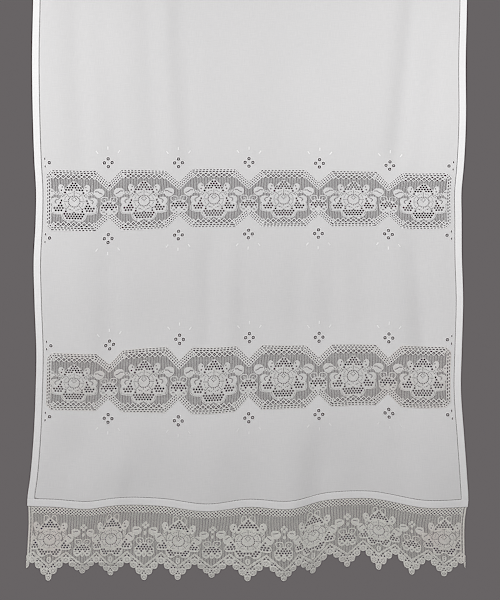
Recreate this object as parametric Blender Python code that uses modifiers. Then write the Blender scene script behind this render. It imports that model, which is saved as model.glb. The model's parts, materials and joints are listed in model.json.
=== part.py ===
"""White cotton lawn curtain panel with a rod pocket, two lace insertions and a pointed lace edging.

Metres, +Z up, +X across, the room is on the -Y side.  The origin is the middle of the top edge.
Every piece is first laid out flat, as it was cut: "across" is measured from the middle line and
"down" from the top edge.  hang() then carries each point of a flat piece to the place where it hangs.
"""

import math

import bmesh
import bpy
import numpy as np
from mathutils import Matrix

# Cloth panel
CLOTH_WIDTH = 0.800
CLOTH_THICKNESS = 0.0012
SIDE_HEM_WIDTH = 0.0125
BOTTOM_HEM_WIDTH = 0.0140
HEM_EXTRA_THICKNESS = 0.0008
SEAM_DOWN = 1.2332
SEWN_GAP = 0.0003

# Rod pocket
POCKET_HEIGHT = 0.040
POCKET_ROUNDING = 0.0100
ROD_MIDDLE = -POCKET_ROUNDING
ROD_ARC_POINTS = 15

# Lace insertions
BAND_MIDDLES = {"lace_band_upper": 0.6650, "lace_band_lower": 0.9962}
BAND_HEIGHT = 0.1130
BAND_END_ACROSS = 0.3800
BAND_END_CHAMFER = 0.0100
MEDALLION_PITCH = 0.1313
MEDALLION_COUNT = 6
MEDALLION_FLAT_HALF = 0.0414
WAIST_HEIGHT = 0.0670
LACE_THICKNESS = 0.0011

# Lace edging with its hanging points
POINT_PITCH = 0.0600
POINT_COUNT = 13
POINTS_MIDDLE = 0.0013
VALLEY_DOWN = 1.3395
COIN_RADIUS = 0.0063
TIP_RADIUS = 0.0052
# coin middle, measured from the tip's line across and from the valley line down
COINS = (
    # across, down, radius
    (POINT_PITCH / 2, -0.0063, COIN_RADIUS),
    (0.0182, 0.0029, COIN_RADIUS),
    (0.0082, 0.0140, COIN_RADIUS),
    (0.0000, 0.0258, TIP_RADIUS),
)
# where each coin's outline has its points, as shares of its radius from its middle
COIN_OUTLINE = (-0.96, -0.6, 0.0, 0.6, 0.96)

# Drawn eyelets, in fours above and below each waist of the lace
EYELET_RADIUS = 0.0022
EYELET_SPREAD = 0.0072
EYELET_SIDES = 8
EYELETS_FROM_BAND = 0.0695
END_EYELET_ACROSS = 0.3795

# The two side edges as they hang
SIDE_EDGES = (
    # down, left, right
    (0.000, -0.4000, 0.4000),
    (0.150, -0.4000, 0.4008),
    (0.296, -0.4008, 0.4010),
    (0.407, -0.4027, 0.3982),
    (0.518, -0.4010, 0.3980),
    (0.592, -0.3984, 0.3947),
    (0.647, -0.3953, 0.3907),
    (0.703, -0.3960, 0.3916),
    (0.777, -0.3995, 0.3923),
    (0.851, -0.3975, 0.3944),
    (0.943, -0.3942, 0.3918),
    (1.017, -0.3960, 0.3903),
    (1.109, -0.4003, 0.3964),
    (1.183, -0.4067, 0.4016),
    (1.220, -0.4116, 0.4034),
    (1.257, -0.4110, 0.3990),
    (1.331, -0.4143, 0.3988),
    (1.375, -0.4150, 0.3988),
)

# How far each level of the cloth is drawn up (+) or sags (-), in millimetres, at these places across
LIFT_ACROSS = (-0.400, -0.358, -0.291, -0.238, -0.157, -0.070, 0.001, 0.074, 0.150, 0.219, 0.322, 0.400)
LIFTS = (
    # down, then the lift in millimetres at each place across
    (0.000, (0.0, 0.0, 0.0, 0.0, 0.0, 0.0, 0.0, 0.0, 0.0, 0.0, 0.0, 0.0)),
    (0.250, (0.0, 0.0, 0.0, 0.0, 0.0, 0.0, 0.0, 0.0, 0.0, 0.0, 0.0, 0.0)),
    (0.6085, (-2.0, -2.0, -3.1, -1.1, -2.4, 1.1, -0.6, -0.9, -2.6, -4.8, -6.7, -6.7)),
    (0.7215, (-1.3, -0.9, -2.4, -0.9, 3.0, 5.2, 5.4, 6.1, 6.1, 6.1, 1.5, 4.4)),
    (0.9397, (-2.4, -3.3, -8.7, -4.4, 1.1, 1.7, 5.4, 4.4, 7.4, 6.5, 4.6, 2.2)),
    (1.0527, (-1.3, -2.8, -4.3, -3.9, -3.9, -8.7, -2.2, -3.7, 3.9, 4.6, 0.6, 3.9)),
    (1.2332, (1.8, 0.0, -3.7, 3.0, 1.8, -7.4, 0.0, -3.7, 12.0, 14.8, -1.5, 0.0)),
    (1.3395, (2.8, 1.8, 2.8, 2.8, 0.9, -0.9, -1.8, -0.9, 19.4, 24.9, 10.7, 0.9)),
)
MM = 0.001
# A stretch of hem that is drawn up also swings back from the room by this share of its lift
SWING_SHARE = 0.8

# Soft folds: ridges come towards the room (+), troughs go back (-)
FOLDS = (
    # across at the fold's head, across at its foot, half width, height, head down, foot down
    (-0.326, -0.306, 0.028, -0.0045, 0.12, 0.62),
    (-0.300, -0.246, 0.024, -0.0035, 0.05, 0.62),
    (-0.222, -0.188, 0.023, -0.0040, 0.03, 0.62),
    (-0.172, -0.150, 0.024, 0.0030, 0.05, 0.60),
    (-0.145, -0.106, 0.025, -0.0025, 0.05, 0.62),
    (-0.020, -0.010, 0.060, 0.0030, 0.10, 0.66),
    (0.150, 0.140, 0.060, 0.0025, 0.10, 0.66),
    (0.315, 0.256, 0.026, -0.0055, 0.03, 0.60),
    (0.352, 0.310, 0.024, -0.0035, 0.30, 0.66),
    (-0.265, -0.262, 0.030, -0.0035, 0.70, 0.96),
    (-0.070, -0.069, 0.023, -0.0050, 0.70, 0.96),
    (-0.040, -0.044, 0.021, 0.0035, 0.70, 0.96),
    (0.088, 0.092, 0.022, -0.0025, 0.72, 0.95),
    (0.158, 0.150, 0.024, -0.0030, 0.72, 0.96),
    (0.210, 0.222, 0.034, -0.0045, 0.70, 0.93),
    (0.306, 0.334, 0.023, -0.0055, 0.68, 0.98),
    (-0.330, -0.322, 0.036, -0.0050, 1.04, 1.30),
    (-0.240, -0.240, 0.023, 0.0040, 1.07, 1.30),
    (0.130, 0.126, 0.030, -0.0050, 1.06, 1.30),
    (0.270, 0.296, 0.030, -0.0040, 1.04, 1.28),
)
# A fold fades in over this length below its head, and is half gone at its foot
FOLD_FADE = 0.11

# How far each hanging point drops below the valleys; a short one has its tip curled back
FULL_POINT_DROP = 0.0310
POINT_DROPS = (
    0.0320, 0.0205, 0.0240, 0.0305, 0.0290, 0.0240, 0.0290,
    0.0285, 0.0250, 0.0295, 0.0310, 0.0310, 0.0295,
)

# Spacing of the lines along which the sheets bend, and other modelling settings
COLUMN = 0.0200
PANEL_ROW = 0.0500
BAND_ROW = 0.0285
EDGING_ROW = 0.0240
CUT_DEPTH = 0.0100
SAME_POINT = 1e-6
FINEST_OUTLINE_STEP = 0.0004
CREASE_ANGLE = math.radians(40)
CLOTH_ROUGHNESS = 0.85

WHITE_LAWN = (0.84, 0.84, 0.84, 1.0)
WHITE_LACE = (0.72, 0.72, 0.71, 1.0)
ECRU_LACE = (0.64, 0.63, 0.59, 1.0)


def smooth_curve(knots, values, at):
    """A cubic through the knots, whose slope at each knot is that between its neighbours."""
    knots = np.asarray(knots, float)
    values = np.asarray(values, float)
    slopes = np.gradient(values, knots, axis=0)
    piece = np.clip(np.searchsorted(knots, at) - 1, 0, len(knots) - 2)
    step = knots[piece + 1] - knots[piece]
    t = np.clip((at - knots[piece]) / step, 0.0, 1.0)

    def pick(table, index):
        return table[index] if table.ndim == 1 else table[index, np.arange(len(index))]

    return (
        (1 + 2 * t) * (1 - t) ** 2 * pick(values, piece)
        + t * (1 - t) ** 2 * step * pick(slopes, piece)
        + t * t * (3 - 2 * t) * pick(values, piece + 1)
        + t * t * (t - 1) * step * pick(slopes, piece + 1)
    )


def ease(share):
    """0 before 0, 1 after 1, and a smooth step between them."""
    share = np.clip(share, 0.0, 1.0)
    return share * share * (3 - 2 * share)


def lift_of(across, down):
    """How far the cloth is drawn up at each place."""
    at_each_level = np.stack([smooth_curve(LIFT_ACROSS, row[1], across) for row in LIFTS])
    return MM * smooth_curve([row[0] for row in LIFTS], at_each_level, down)


def fold_of(across, down):
    """How far the soft folds bring the cloth towards the room at each place."""
    forward = np.zeros_like(across)
    for head_across, foot_across, half_width, height, head, foot in FOLDS:
        along = np.clip((down - head) / (foot - head), 0.0, 1.0)
        middle = head_across + (foot_across - head_across) * along
        fade = ease((down - head) / FOLD_FADE) * ease((foot - down) / FOLD_FADE + 0.5)
        forward += height * fade * np.exp(-(((across - middle) / half_width) ** 2))
    return forward


def hang(across, down, forward):
    """World places of flat points; forward is measured from the cloth's back face towards the room."""
    edge_down, left, right = np.array(SIDE_EDGES).T
    left_edge = smooth_curve(edge_down, left, down)
    right_edge = smooth_curve(edge_down, right, down)
    x = left_edge + (across / CLOTH_WIDTH + 0.5) * (right_edge - left_edge)
    lift = lift_of(across, np.minimum(down, VALLEY_DOWN))
    below_valley = np.maximum(down - VALLEY_DOWN, 0.0)
    point_places = POINTS_MIDDLE + POINT_PITCH * (np.arange(POINT_COUNT) - (POINT_COUNT - 1) / 2)
    straight = smooth_curve(point_places, np.array(POINT_DROPS) / FULL_POINT_DROP, across)
    curl = np.sqrt(np.maximum(1 - np.minimum(straight, 1.0) ** 2, 0.0))
    z = -(down - below_valley) - below_valley * straight + lift
    y = SWING_SHARE * lift - fold_of(across, down) + below_valley * curl - forward
    return np.stack([x, y, z], axis=1)


def new_object(name, mesh, collection):
    obj = bpy.data.objects.new(name, mesh)
    collection.objects.link(obj)
    return obj


def as_cutter(obj):
    """Marks an object as a cutter that is neither rendered nor built."""
    obj.hide_render = True
    obj.display_type = "WIRE"
    return obj


def material(name, colour):
    made = bpy.data.materials.new(name)
    made.use_nodes = True
    shader = made.node_tree.nodes["Principled BSDF"]
    shader.inputs["Base Color"].default_value = colour
    shader.inputs["Roughness"].default_value = CLOTH_ROUGHNESS
    shader.inputs["Metallic"].default_value = 0.0
    return made


def even_steps(start, end, step):
    """Places from start to end, about one step apart."""
    return np.linspace(start, end, max(1, round((end - start) / step)) + 1)


def cloth_columns(end):
    """The grid lines across, the same for all pieces, so that neighbours bend at the same places."""
    hem_line = CLOTH_WIDTH / 2 - SIDE_HEM_WIDTH
    return np.concatenate([
        [-end, -hem_line - SEWN_GAP],
        even_steps(-hem_line, hem_line, COLUMN),
        [hem_line + SEWN_GAP, end],
    ])


def flat_slab(name, columns, rows, thickness, collection):
    """A flat slab with grid lines at these columns and rows: x is across, y is down, z is forward."""
    mesh = bpy.data.meshes.new(name)
    bm = bmesh.new()
    bmesh.ops.create_grid(bm, x_segments=len(columns) - 1, y_segments=len(rows) - 1, size=0.5)
    for vertex in bm.verts:
        column = round((vertex.co.x + 0.5) * (len(columns) - 1))
        row = round((vertex.co.y + 0.5) * (len(rows) - 1))
        vertex.co = (columns[column], rows[row], 0.0)
    bm.to_mesh(mesh)
    bm.free()
    slab = new_object(name, mesh, collection)
    wall = slab.modifiers.new("thickness", "SOLIDIFY")
    wall.thickness = thickness
    wall.offset = 1.0
    return slab


def mesh_of(drawn):
    """The closed mesh of a filled and extruded curve, with its caps sewn to its sides."""
    bpy.context.view_layer.update()
    graph = bpy.context.evaluated_depsgraph_get()
    mesh = bpy.data.meshes.new_from_object(drawn.evaluated_get(graph))
    bm = bmesh.new()
    bm.from_mesh(mesh)
    bmesh.ops.remove_doubles(bm, verts=bm.verts, dist=SAME_POINT)
    bmesh.ops.recalc_face_normals(bm, faces=bm.faces)
    bm.to_mesh(mesh)
    bm.free()
    return mesh


def outline_block(name, outline, collection):
    """A thick block with this closed flat outline, for cutting or for trimming a slab."""
    curve = bpy.data.curves.new(name, "CURVE")
    curve.dimensions = "2D"
    curve.fill_mode = "BOTH"
    curve.extrude = CUT_DEPTH
    spline = curve.splines.new("POLY")
    spline.points.add(len(outline) - 1)
    spline.points.foreach_set("co", np.array([(x, y, 0.0, 1.0) for x, y in outline]).ravel())
    spline.use_cyclic_u = True
    drawn = new_object(name + "_outline", curve, collection)
    block = as_cutter(new_object(name, mesh_of(drawn), collection))
    block.matrix_world = drawn.matrix_world
    bpy.data.objects.remove(drawn)
    return block


def boolean(obj, operation, cutter):
    modifier = obj.modifiers.new(operation.lower(), "BOOLEAN")
    modifier.operation = operation
    modifier.solver = "EXACT"
    modifier.object = cutter
    return modifier


def hung_piece(slab, name, finish, collection, hem_extra=None):
    """Takes the trimmed flat slab, hangs each of its points, and gives the piece its name and finish."""
    bpy.context.view_layer.update()
    graph = bpy.context.evaluated_depsgraph_get()
    mesh = bpy.data.meshes.new_from_object(slab.evaluated_get(graph))
    mesh.name = name
    bm = bmesh.new()
    bm.from_mesh(mesh)
    bmesh.ops.triangulate(bm, faces=bm.faces)
    bm.to_mesh(mesh)
    bm.free()
    flat = np.empty(len(mesh.vertices) * 3)
    mesh.vertices.foreach_get("co", flat)
    across, down, forward = flat.reshape(-1, 3).T
    if hem_extra is not None:
        at_back = forward < CLOTH_THICKNESS / 2
        forward = np.where(at_back, forward - hem_extra(across, down), forward)
    mesh.vertices.foreach_set("co", hang(across, down, forward).ravel())
    mesh.update()
    bm = bmesh.new()
    bm.from_mesh(mesh)
    bmesh.ops.recalc_face_normals(bm, faces=bm.faces)
    bm.to_mesh(mesh)
    bm.free()
    mesh.materials.clear()
    mesh.materials.append(finish)
    piece = new_object(name, mesh, collection)
    mesh.shade_smooth()
    mesh.set_sharp_from_angle(angle=CREASE_ANGLE)
    bpy.data.objects.remove(slab)
    return piece


def band_outline(middle, margin):
    """The chain of eight-sided medallions, grown by a margin all round, as (across, down) points."""
    half_height = BAND_HEIGHT / 2 + margin
    half_waist = WAIST_HEIGHT / 2 + margin
    end = BAND_END_ACROSS + margin
    top = [(-end, half_height - BAND_END_CHAMFER), (-end + BAND_END_CHAMFER, half_height)]
    for medallion in range(MEDALLION_COUNT):
        centre = MEDALLION_PITCH * (medallion - (MEDALLION_COUNT - 1) / 2)
        if medallion > 0:
            top.append((centre - MEDALLION_FLAT_HALF, half_height))
        if medallion < MEDALLION_COUNT - 1:
            top.append((centre + MEDALLION_FLAT_HALF, half_height))
            top.append((centre + MEDALLION_PITCH / 2, half_waist))
    top += [(end - BAND_END_CHAMFER, half_height), (end, half_height - BAND_END_CHAMFER)]
    upper = [(across, middle - height) for across, height in top]
    lower = [(across, middle + height) for across, height in reversed(top)]
    return upper + lower


def eyelet_places():
    """The flat middles of all drawn eyelets: fours at each waist, and the one left of a four at each hem."""
    waists = [MEDALLION_PITCH * (n - (MEDALLION_COUNT - 2) / 2) for n in range(MEDALLION_COUNT - 1)]
    places = []
    for middle in BAND_MIDDLES.values():
        for side in (-1, 1):
            down = middle + side * EYELETS_FROM_BAND
            for waist in waists:
                for turn in range(4):
                    angle = turn * math.pi / 2
                    places.append(
                        (waist + EYELET_SPREAD * math.cos(angle), down + EYELET_SPREAD * math.sin(angle))
                    )
            places.append((-END_EYELET_ACROSS + EYELET_SPREAD, down))
            places.append((END_EYELET_ACROSS - EYELET_SPREAD, down))
    return places


def eyelet_cutters(collection):
    """All the small round punches of the drawn eyelets, as one cutter."""
    mesh = bpy.data.meshes.new("eyelet_punches")
    bm = bmesh.new()
    for across, down in eyelet_places():
        made = bmesh.ops.create_cone(
            bm,
            cap_ends=True,
            segments=EYELET_SIDES,
            radius1=EYELET_RADIUS,
            radius2=EYELET_RADIUS,
            depth=2 * CUT_DEPTH,
        )
        bmesh.ops.translate(bm, verts=made["verts"], vec=(across, down, 0.0))
    bm.to_mesh(mesh)
    bm.free()
    return as_cutter(new_object("eyelet_punches", mesh, collection))


def hem_thickness(across, down):
    """The extra cloth turned to the back along both sides and above the lace seam."""
    in_side = np.abs(across) > CLOTH_WIDTH / 2 - SIDE_HEM_WIDTH
    in_bottom = down > SEAM_DOWN - BOTTOM_HEM_WIDTH
    return HEM_EXTRA_THICKNESS * (in_side | in_bottom)


def make_panel(finish, parts, cutters):
    """The lawn panel, with its hems turned to the back, two windows for the lace, and its eyelets."""
    hem_top = SEAM_DOWN - BOTTOM_HEM_WIDTH
    rows = np.concatenate([
        even_steps(POCKET_HEIGHT + SEWN_GAP, hem_top, PANEL_ROW),
        [hem_top + SEWN_GAP, SEAM_DOWN],
    ])
    slab = flat_slab("panel_flat", cloth_columns(CLOTH_WIDTH / 2), rows, CLOTH_THICKNESS, parts)
    for name, middle in BAND_MIDDLES.items():
        window = outline_block("window_for_" + name, band_outline(middle, SEWN_GAP), cutters)
        boolean(slab, "DIFFERENCE", window)
    boolean(slab, "DIFFERENCE", eyelet_cutters(cutters))
    return hung_piece(slab, "cloth_panel", finish, parts, hem_thickness)


def make_band(name, middle, finish, parts, cutters):
    """One lace insertion: a slab trimmed to the medallion chain."""
    half = BAND_HEIGHT / 2 + SEWN_GAP
    rows = even_steps(middle - half, middle + half, BAND_ROW)
    columns = cloth_columns(CLOTH_WIDTH / 2)
    slab = flat_slab(name + "_flat", columns, rows, LACE_THICKNESS, parts)
    boolean(slab, "INTERSECT", outline_block("outline_of_" + name, band_outline(middle, 0.0), cutters))
    return hung_piece(slab, name, finish, parts)


def scallop_profile(across):
    """How far the edging's outline reaches below the valley line: the lowest of its round coins."""
    reach = np.full_like(across, -2 * COIN_RADIUS)
    from_point = (across - POINTS_MIDDLE + POINT_PITCH / 2) % POINT_PITCH - POINT_PITCH / 2
    for coin_across, coin_down, radius in COINS:
        for side in (-1, 1):
            off = (from_point - side * coin_across) / radius
            low = coin_down + radius * np.sqrt(np.maximum(1 - off * off, 0.0))
            reach = np.where(np.abs(off) < 1, np.maximum(reach, low), reach)
    slope_across, slope_down, _ = np.array(sorted(COINS)).T
    return np.maximum(reach, np.interp(np.abs(from_point), slope_across, slope_down))


def edging_outline():
    """The lace edging: a straight seam edge above, round coins stepping down to each point below."""
    half = CLOTH_WIDTH / 2
    places = {-half, half}
    first = -math.ceil(half / POINT_PITCH) - 1
    for number in range(first, -first + 1):
        for coin_across, _, radius in COINS:
            for side in (-1, 1):
                coin = POINTS_MIDDLE + number * POINT_PITCH + side * coin_across
                places.update(round(coin + share * radius, 6) for share in COIN_OUTLINE)
    across = np.array(sorted(place for place in places if abs(place) <= half))
    keep = np.concatenate([[True], np.diff(across) > FINEST_OUTLINE_STEP])
    across = across[keep]
    lower = np.stack([across, VALLEY_DOWN + scallop_profile(across)], axis=1)
    upper = [(half, SEAM_DOWN + SEWN_GAP), (-half, SEAM_DOWN + SEWN_GAP)]
    return [tuple(point) for point in lower] + upper


def make_edging(finish, parts, cutters):
    """The pointed lace edging sewn under the bottom hem."""
    rows = even_steps(SEAM_DOWN, VALLEY_DOWN + FULL_POINT_DROP + SEWN_GAP, EDGING_ROW)
    columns = cloth_columns(CLOTH_WIDTH / 2 + SEWN_GAP)
    slab = flat_slab("lace_edging_flat", columns, rows, LACE_THICKNESS, parts)
    boolean(slab, "INTERSECT", outline_block("outline_of_lace_edging", edging_outline(), cutters))
    return hung_piece(slab, "lace_edging", finish, parts)


def teardrop(radius, side_slope):
    """A round top about the rod's middle, and two straight sides from it that meet below, as (y, z) points."""
    turns = np.linspace(-side_slope, math.pi + side_slope, ROD_ARC_POINTS)
    arc = [(radius * math.cos(turn), ROD_MIDDLE + radius * math.sin(turn)) for turn in turns]
    return arc + [(0.0, ROD_MIDDLE - radius / math.sin(side_slope))]


def make_pocket(finish, parts):
    """The cloth folded over at the top and sewn down behind, standing open as it does round a rod."""
    side_slope = math.asin(POCKET_ROUNDING / (POCKET_HEIGHT - POCKET_ROUNDING))
    curve = bpy.data.curves.new("rod_pocket_section", "CURVE")
    curve.dimensions = "2D"
    curve.fill_mode = "BOTH"
    curve.extrude = CLOTH_WIDTH / 2
    for radius in (POCKET_ROUNDING, POCKET_ROUNDING - CLOTH_THICKNESS):
        section = teardrop(radius, side_slope)
        spline = curve.splines.new("POLY")
        spline.points.add(len(section) - 1)
        spline.points.foreach_set("co", np.array([(y, z, 0.0, 1.0) for y, z in section]).ravel())
        spline.use_cyclic_u = True
    drawn = new_object("rod_pocket_section", curve, parts)
    pocket = new_object("rod_pocket", mesh_of(drawn), parts)
    # The section was drawn with y and z in the curve's own plane, so it is turned to stand across X
    pocket.data.transform(Matrix(((0, 0, 1, 0), (1, 0, 0, 0), (0, 1, 0, 0), (0, 0, 0, 1))))
    bpy.data.objects.remove(drawn)
    pocket.data.materials.append(finish)
    pocket.data.shade_smooth()
    pocket.data.set_sharp_from_angle(angle=CREASE_ANGLE)
    return pocket


def main():
    for old in list(bpy.data.objects):
        bpy.data.objects.remove(old)
    parts = bpy.data.collections.new("rod_pocket_curtain")
    cutters = bpy.data.collections.new("cutters")
    for collection in (parts, cutters):
        bpy.context.scene.collection.children.link(collection)
    lawn = material("white_lawn", WHITE_LAWN)
    white_lace = material("white_lace", WHITE_LACE)
    ecru_lace = material("ecru_lace", ECRU_LACE)
    make_pocket(lawn, parts)
    make_panel(lawn, parts, cutters)
    make_band("lace_band_upper", BAND_MIDDLES["lace_band_upper"], white_lace, parts, cutters)
    make_band("lace_band_lower", BAND_MIDDLES["lace_band_lower"], ecru_lace, parts, cutters)
    make_edging(ecru_lace, parts, cutters)


main()
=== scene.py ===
"""Looks of the rod pocket curtain: sheer lawn, hems, drawn eyelets and three strips of net lace.

Every piece is first worked out flat, as it was cut, in millimetres: "across" is measured from the
middle line, "down" from the top edge, and "forward" from the cloth's back face towards the room.
hang() then carries each point to the place where it hangs.  The room is on the -Y side.
"""

import json
import math
from collections import namedtuple

import bpy
import numpy as np
from mathutils.geometry import delaunay_2d_cdt
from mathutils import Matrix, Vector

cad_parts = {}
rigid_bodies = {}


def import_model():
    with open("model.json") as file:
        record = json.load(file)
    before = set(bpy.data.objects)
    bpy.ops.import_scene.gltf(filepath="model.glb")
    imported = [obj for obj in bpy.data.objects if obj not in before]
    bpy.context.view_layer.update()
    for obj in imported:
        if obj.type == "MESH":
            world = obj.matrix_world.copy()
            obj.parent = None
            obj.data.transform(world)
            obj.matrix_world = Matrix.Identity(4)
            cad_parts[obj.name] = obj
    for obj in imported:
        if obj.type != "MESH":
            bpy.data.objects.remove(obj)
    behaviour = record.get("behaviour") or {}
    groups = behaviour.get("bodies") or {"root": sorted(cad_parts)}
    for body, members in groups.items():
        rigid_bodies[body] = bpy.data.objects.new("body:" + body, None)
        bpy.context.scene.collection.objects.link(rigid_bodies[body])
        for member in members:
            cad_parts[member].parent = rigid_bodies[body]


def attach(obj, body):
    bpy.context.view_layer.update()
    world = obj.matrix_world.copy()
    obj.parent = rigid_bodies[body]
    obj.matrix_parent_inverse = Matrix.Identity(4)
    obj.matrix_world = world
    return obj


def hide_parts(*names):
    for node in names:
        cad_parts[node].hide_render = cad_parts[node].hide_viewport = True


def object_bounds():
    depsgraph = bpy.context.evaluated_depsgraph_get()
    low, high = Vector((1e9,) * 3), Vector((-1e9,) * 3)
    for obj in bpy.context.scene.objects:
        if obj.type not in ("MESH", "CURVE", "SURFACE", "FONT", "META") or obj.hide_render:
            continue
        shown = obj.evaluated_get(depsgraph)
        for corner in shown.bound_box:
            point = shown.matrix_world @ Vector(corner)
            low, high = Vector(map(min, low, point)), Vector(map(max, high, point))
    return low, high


MM = 0.001

# Cloth, as in the part's source
CLOTH_WIDTH = 0.800
SIDE_HEM = 12.5
BOTTOM_HEM = 14.0
SEAM = 1233.2
POCKET_HEIGHT = 40.0
POCKET_ROUNDING = 10.0
CLOTH_FORWARD = 0.6
CLOTH_STEP = 6.0

# Lace insertions
BANDS = {"lace_band_upper": 665.0, "lace_band_lower": 996.2}
BAND_HALF_HEIGHT = 56.5
BAND_END = 380.0
BAND_END_CHAMFER = 10.0
MEDALLION_PITCH = 131.3
MEDALLION_COUNT = 6
FLAT_HALF = 41.4
WAIST_HALF_HEIGHT = 33.5

# Lace edging
POINT_PITCH = 60.0
POINT_COUNT = 13
POINTS_MIDDLE = 1.3
VALLEY = 1339.5
COIN_RADIUS = 6.3
COINS = (
    # across from the tip's line, down from the valley line, radius
    (30.0, -6.3, COIN_RADIUS),
    (18.2, 2.9, COIN_RADIUS),
    (8.2, 14.0, COIN_RADIUS),
    (0.0, 25.8, 5.2),
)

# Drawn eyelets
EYELET_RADIUS = 3.4
EYELET_SPREAD = 7.2
EYELETS_FROM_BAND = 69.5
END_EYELET_ACROSS = 379.5

# The two side edges as they hang, in metres
SIDE_EDGES = (
    # down, left, right
    (0.000, -0.4000, 0.4000),
    (0.150, -0.4000, 0.4008),
    (0.296, -0.4008, 0.4010),
    (0.407, -0.4027, 0.3982),
    (0.518, -0.4010, 0.3980),
    (0.592, -0.3984, 0.3947),
    (0.647, -0.3953, 0.3907),
    (0.703, -0.3960, 0.3916),
    (0.777, -0.3995, 0.3923),
    (0.851, -0.3975, 0.3944),
    (0.943, -0.3942, 0.3918),
    (1.017, -0.3960, 0.3903),
    (1.109, -0.4003, 0.3964),
    (1.183, -0.4067, 0.4016),
    (1.220, -0.4116, 0.4034),
    (1.257, -0.4110, 0.3990),
    (1.331, -0.4143, 0.3988),
    (1.375, -0.4150, 0.3988),
)

# How far each level of the cloth is drawn up (+) or sags (-), in millimetres, at these places across
LIFT_ACROSS = (-0.400, -0.358, -0.291, -0.238, -0.157, -0.070, 0.001, 0.074, 0.150, 0.219, 0.322, 0.400)
LIFTS = (
    # down in metres, then the lift in millimetres at each place across
    (0.000, (0.0,) * 12),
    (0.250, (0.0,) * 12),
    (0.6085, (-1.2, -1.2, -2.3, -0.3, -1.8, 1.1, -0.6, -0.9, -2.6, -4.2, -7.4, -6.7)),
    (0.7215, (-1.7, -1.3, -3.0, -1.2, 3.0, 5.4, 5.8, 6.6, 6.6, 7.8, 1.5, 4.4)),
    (0.9397, (-6.4, -8.4, -9.8, -3.6, 2.8, 1.5, 6.2, 5.4, 7.4, 7.3, 3.8, 2.2)),
    (1.0527, (0.2, -1.3, -2.6, -4.6, -6.4, -8.2, -1.8, 1.2, 4.3, 7.4, 2.2, 3.9)),
    (1.2332, (1.8, 0.0, -3.7, 3.0, 1.8, -7.4, 0.0, -3.7, 12.0, 14.8, -1.5, 0.0)),
    (1.3395, (2.8, 1.8, 2.8, 2.8, 0.9, -0.9, -1.8, -5.4, 16.2, 22.4, 7.8, 0.9)),
)
SWING_SHARE = 0.8

# How far the lace edging is drawn sideways at each hanging point, in millimetres
EDGING_SHIFTS = (0.0, 1.0, -8.0, -6.5, -5.0, -3.5, 2.0, 8.5, 1.5, 4.5, 1.5, 1.5, 0.0)
EDGING_SHIFT_HEAD = 1.19
EDGING_SHIFT_FOOT = 1.29
TIP_CURL = 0.35

# Soft folds in metres: ridges come towards the room (+), troughs go back (-)
FOLDS = (
    # across at the fold's head, across at its foot, half width, height, head down, foot down
    (-0.326, -0.306, 0.028, -0.0061, 0.12, 0.62),
    (-0.300, -0.246, 0.026, -0.0036, 0.05, 0.62),
    (-0.196, -0.166, 0.021, -0.0054, 0.03, 0.62),
    (-0.172, -0.150, 0.024, 0.0041, 0.05, 0.60),
    (-0.145, -0.106, 0.025, -0.0034, 0.05, 0.62),
    (-0.020, -0.010, 0.060, 0.0041, 0.10, 0.66),
    (0.150, 0.140, 0.060, 0.0034, 0.10, 0.66),
    (0.330, 0.275, 0.024, -0.0100, 0.03, 0.60),
    (0.352, 0.310, 0.024, -0.0047, 0.30, 0.66),
    (-0.265, -0.262, 0.030, -0.0047, 0.70, 0.96),
    (-0.070, -0.069, 0.023, -0.0068, 0.70, 0.96),
    (-0.040, -0.044, 0.021, 0.0047, 0.70, 0.96),
    (0.088, 0.092, 0.022, -0.0034, 0.72, 0.95),
    (0.158, 0.150, 0.024, -0.0041, 0.72, 0.96),
    (0.210, 0.222, 0.034, -0.0061, 0.70, 0.93),
    (0.306, 0.334, 0.023, -0.0074, 0.68, 0.98),
    (-0.330, -0.322, 0.036, -0.0068, 1.04, 1.30),
    (-0.240, -0.240, 0.023, 0.0054, 1.07, 1.30),
    (0.130, 0.126, 0.030, -0.0068, 1.06, 1.30),
    (0.270, 0.296, 0.030, -0.0054, 1.04, 1.28),
)
FOLD_FADE = 0.11

# How far each hanging point drops below the valleys, in metres; a short one has its tip curled back
FULL_POINT_DROP = 0.0310
POINT_DROPS = (
    0.0320, 0.0205, 0.0240, 0.0305, 0.0290, 0.0240, 0.0290,
    0.0245, 0.0260, 0.0280, 0.0335, 0.0310, 0.0272,
)

# Levels of the lace's layers, in millimetres forward of the cloth's back face
NET_LEVEL = 0.40
FIGURE_LEVEL = 0.42
FIGURE_RELIEF = 0.28
FIGURE_GRAIN = 2.4
CORD_LEVEL = 0.62

Part = namedtuple("Part", "points triangles finish crisp", defaults=(False,))
Figure = namedtuple("Figure", "outline holes level cord")


# Drape

def smooth_curve(knots, values, at):
    """A cubic through the knots, whose slope at each knot is that between its neighbours."""
    knots = np.asarray(knots, float)
    values = np.asarray(values, float)
    slopes = np.gradient(values, knots, axis=0)
    piece = np.clip(np.searchsorted(knots, at) - 1, 0, len(knots) - 2)
    step = knots[piece + 1] - knots[piece]
    t = np.clip((at - knots[piece]) / step, 0.0, 1.0)

    def pick(table, index):
        return table[index] if table.ndim == 1 else table[index, np.arange(len(index))]

    return (
        (1 + 2 * t) * (1 - t) ** 2 * pick(values, piece)
        + t * (1 - t) ** 2 * step * pick(slopes, piece)
        + t * t * (3 - 2 * t) * pick(values, piece + 1)
        + t * t * (t - 1) * step * pick(slopes, piece + 1)
    )


def ease(share):
    """0 before 0, 1 after 1, and a smooth step between them."""
    share = np.clip(share, 0.0, 1.0)
    return share * share * (3 - 2 * share)


def lift_of(across, down):
    """How far the cloth is drawn up at each place."""
    at_each_level = np.stack([smooth_curve(LIFT_ACROSS, row[1], across) for row in LIFTS])
    return MM * smooth_curve([row[0] for row in LIFTS], at_each_level, down)


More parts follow.
